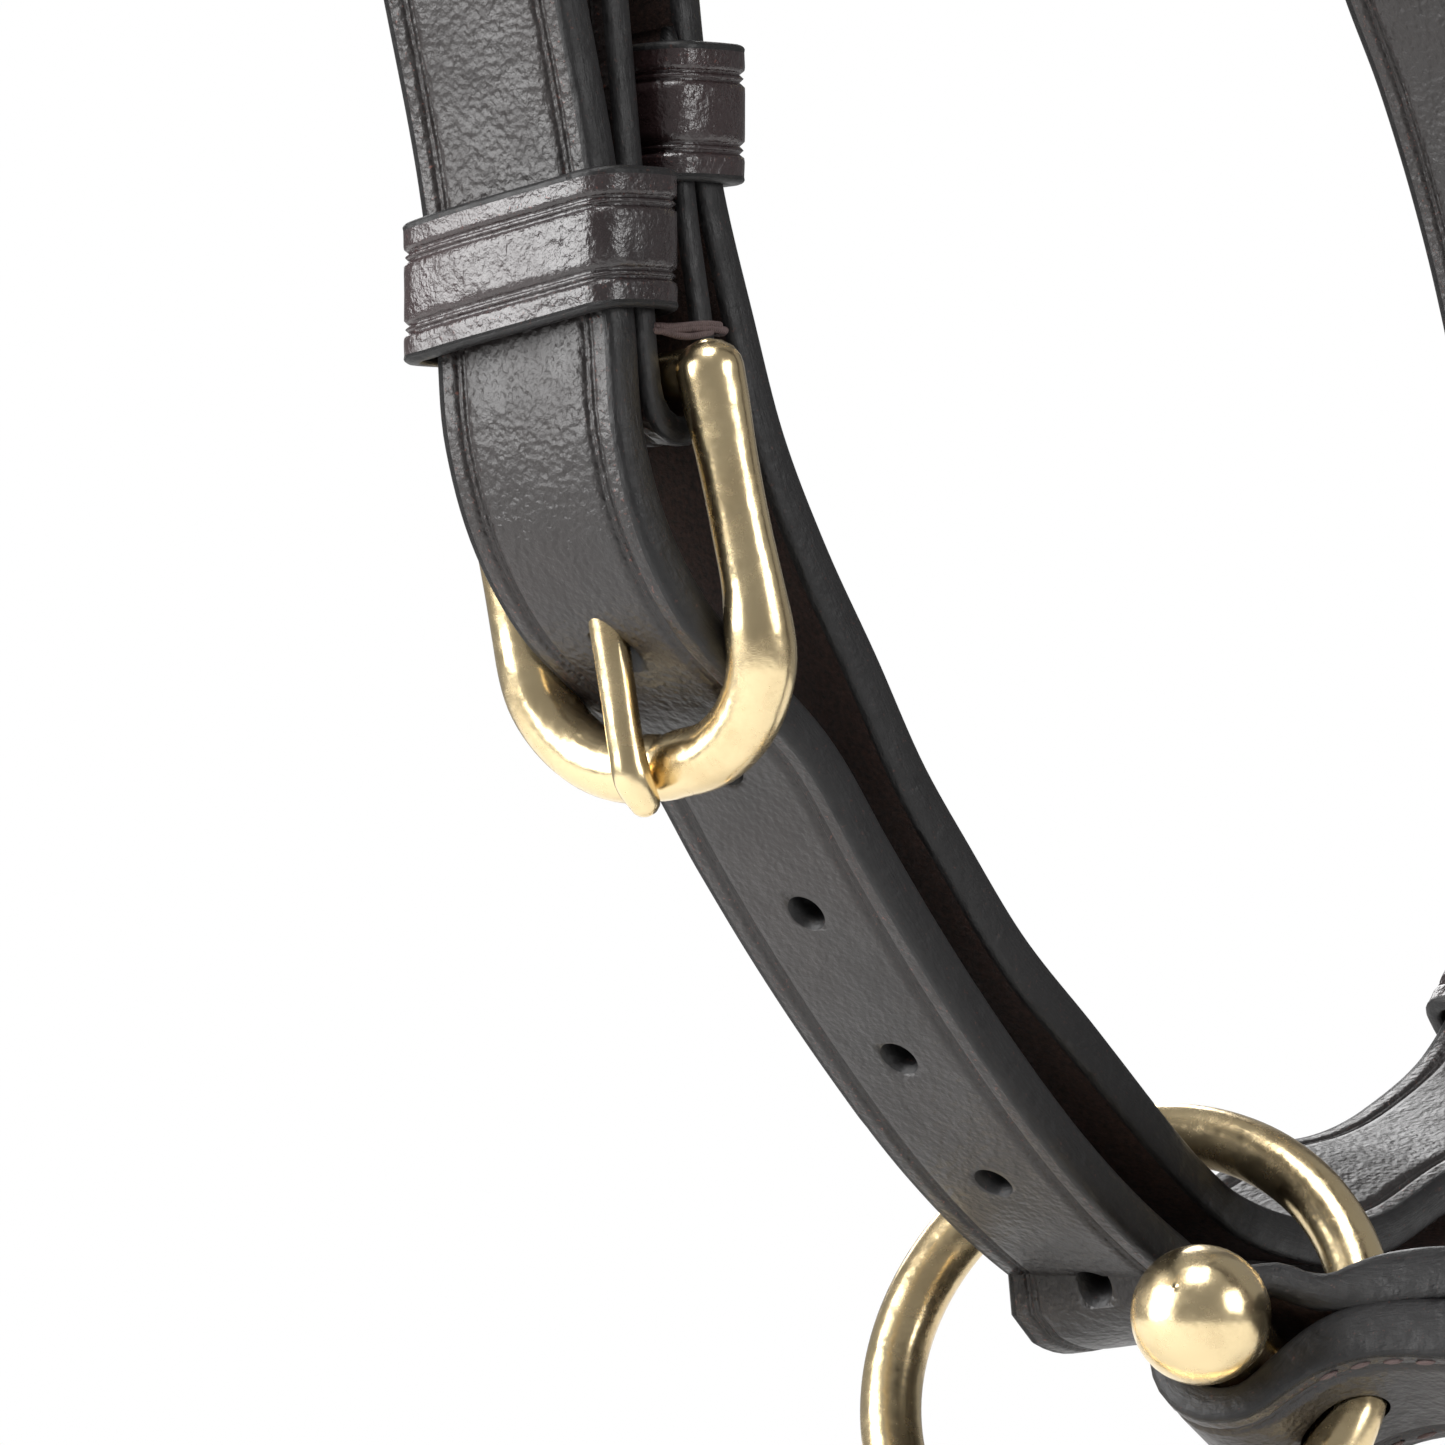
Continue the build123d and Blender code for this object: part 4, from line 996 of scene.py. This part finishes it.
# %% The stitching tree
def stitch_tree():
    """Lay stitches along rows of edges; the rows carry the facing of the leather."""
    tree = bpy.data.node_groups.new("saddle_stitch", "GeometryNodeTree")
    for name, kind in (("Rows", "Geometry"), ("Step", "Float"), ("Thread", "Float"), ("Finish", "Material")):
        tree.interface.new_socket(name, in_out="INPUT", socket_type="NodeSocket" + kind)
    tree.interface.new_socket("Stitches", in_out="OUTPUT", socket_type="NodeSocketGeometry")
    add, link = tree.nodes.new, tree.links.new
    get, give = add("NodeGroupInput"), add("NodeGroupOutput")
    curve, even = add("GeometryNodeMeshToCurve"), add("GeometryNodeResampleCurve")
    lay = add("GeometryNodeInstanceOnPoints")
    even.mode = "LENGTH"
    link(get.outputs["Rows"], curve.inputs["Mesh"])
    link(curve.outputs[0], even.inputs["Curve"])
    link(get.outputs["Step"], even.inputs["Length"])
    run, facing = add("GeometryNodeInputTangent"), add("GeometryNodeInputNamedAttribute")
    facing.data_type = "FLOAT_VECTOR"
    facing.inputs["Name"].default_value = "facing"
    aim, roll = add("FunctionNodeAlignRotationToVector"), add("FunctionNodeAlignRotationToVector")
    aim.axis, roll.axis, roll.pivot_axis = "X", "Z", "X"
    link(run.outputs[0], aim.inputs["Vector"])
    link(aim.outputs[0], roll.inputs["Rotation"])
    link(facing.outputs[0], roll.inputs["Vector"])
    slant = add("FunctionNodeRotateRotation")
    slant.rotation_space = "LOCAL"
    slant.inputs["Rotate By"].default_value = (0, 0, radians(11))
    link(roll.outputs[0], slant.inputs[0])
    bead, squash = add("GeometryNodeMeshUVSphere"), add("GeometryNodeTransform")
    bead.inputs["Segments"].default_value, bead.inputs["Rings"].default_value = 8, 6
    link(get.outputs["Thread"], bead.inputs["Radius"])
    squash.inputs["Scale"].default_value = (3.3, 1.0, 0.75)
    link(bead.outputs[0], squash.inputs["Geometry"])
    link(even.outputs[0], lay.inputs["Points"])
    link(squash.outputs[0], lay.inputs["Instance"])
    link(slant.outputs[0], lay.inputs["Rotation"])
    real, smooth = add("GeometryNodeRealizeInstances"), add("GeometryNodeSetShadeSmooth")
    dress = add("GeometryNodeSetMaterial")
    link(lay.outputs[0], real.inputs[0])
    link(real.outputs[0], smooth.inputs[0])
    link(smooth.outputs[0], dress.inputs["Geometry"])
    link(get.outputs["Finish"], dress.inputs["Material"])
    link(dress.outputs[0], give.inputs[0])
    return tree


STITCHING = stitch_tree()
stitch_rows = []


def stitch(line, across, inset, low, high, half=12.7, face=1, lift=0.12):
    """Mark a row of stitches on a strap, some way in from an edge, between two places on its line."""
    line, across = np.asarray(line, float), unit(np.broadcast_to(across, (len(line), 3)))
    ahead = unit(np.gradient(line[:, :3], axis=0))
    out = np.cross(unit(across - ahead * (across * ahead).sum(1)[:, None]), ahead)
    where = half - inset if inset > 0 else -(half + inset)
    places = line[:, :3] + across * where + out * (line[:, 3:4] / 2 - 0.12 + lift) * face
    stitch_rows.append((places[low:high], out[low:high] * face))


def nearest(line, place):
    """Index of the place on a line that is nearest to a given place."""
    return int(np.linalg.norm(line[:, :3] - np.asarray(place, float)[:3], axis=1).argmin())


def span(line, first, last):
    """Indices on a line of two places."""
    return nearest(line, first), nearest(line, last)


# %% Rows of stitches
INSET, STITCH_STEP, THREAD_R = 2.4, 3.7, 0.42
for inset in (INSET, -INSET):
    stitch(nose_line, Z, inset, *span(nose_line, (82.4, -70, NOSE_Z), (-82.4, -70, NOSE_Z)))
    stitch(backstay_line, backstay_across, inset, 1, nearest(backstay_line, in_ring(33, 10.2, 0)))
    stitch(backstay_line, backstay_across, inset,
           *span(backstay_line, in_ring(28.0, 0.8, 0), in_ring(46, 5.2, 0)))
    for side in (1, -1):
        for face, out_x in ((1, 2.15), (-1, -2.15)):
            line = smooth_line([(side * (SQUARE_X + out_x), 0, z, 4.0) for z in (-271, -230, -200, -166)])
            stitch(line, Y * face * side, inset, 0, len(line))
        turned = smooth_line([(side * x, y, NOSE_Z, 4.2) for x, y in ((84.2, -36), (82.9, -52), (82.4, -66))])
        stitch(turned, Z * side, inset, 0, len(turned), half=12.2)
    for first, last in ((throat_rows[13], throat_rows[15]),
                        (THROAT_AT + X * 60 + THROAT_UP * 14, THROAT_AT + X * 79 + THROAT_UP * 24)):
        stitch(throat_line, THROAT_WIDE, inset, *span(throat_line, first, last), half=9.5)
corners, edges, facings = [], [], []
for places, out in stitch_rows:
    first = len(corners)
    corners += places.tolist()
    facings += out.tolist()
    edges += [(first + i, first + i + 1) for i in range(len(places) - 1)]
row_mesh = bpy.data.meshes.new("stitching")
row_mesh.from_pydata((np.array(corners) * MM).tolist(), edges, [])
facing = row_mesh.attributes.new("facing", "FLOAT_VECTOR", "POINT")
facing.data.foreach_set("vector", np.array(facings, np.float32).ravel())
row_mesh.materials.append(thread)
stitching = bpy.data.objects.new("stitching", row_mesh)
bpy.context.collection.objects.link(stitching)
made_plain(stitching, STITCHING, {"Step": STITCH_STEP * MM, "Thread": THREAD_R * MM, "Finish": thread})
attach(stitching, "leatherwork")
print("stitching", len(stitching.data.polygons), "faces in", len(stitch_rows), "rows")

# %% Thread wrapped over the edges below the front keeper
WRAP_UP, WRAP_BACK = 115.6, 12.95
wraps = []
for k, (rise_by, left_a, left_b) in enumerate(((0.0, 65.4, 78.6), (0.55, 66.4, 78.2), (-0.5, 68.2, 77.8))):
    rows = []
    for t in np.linspace(-0.25, 1.25, 15):
        left = left_a + (left_b - left_a) * t
        sink = 5.0 * (max(0, -t) + max(0, t - 1)) ** 0.8 * 4
        up = WRAP_UP + rise_by * (0.6 + 0.4 * sin(pi * t)) + 0.25 * sin(5 * t + k)
        rows.append((*chin_place(left, up, WRAP_BACK - sink), THREAD_R))
    wraps.append(wire("wrap", rows, thread, sides=12))
wrap = joined("wrapped_thread", wraps)
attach(wrap, "leatherwork")

# %% [markdown]
# ## Snap hook
# The snap hook's CAD shapes are already round bars with an eye, a shank, a hook and a gate, so
# they stay and only take the brass finish.

# %% Brass on the snap hook
for node in ("snap_eye", "snap_hook", "snap_gate", "snap_gate_pin"):
    metal = bpy.data.objects[node]
    metal.data.materials.clear()
    metal.data.materials.append(brass)
    print(node, "finished in brass")
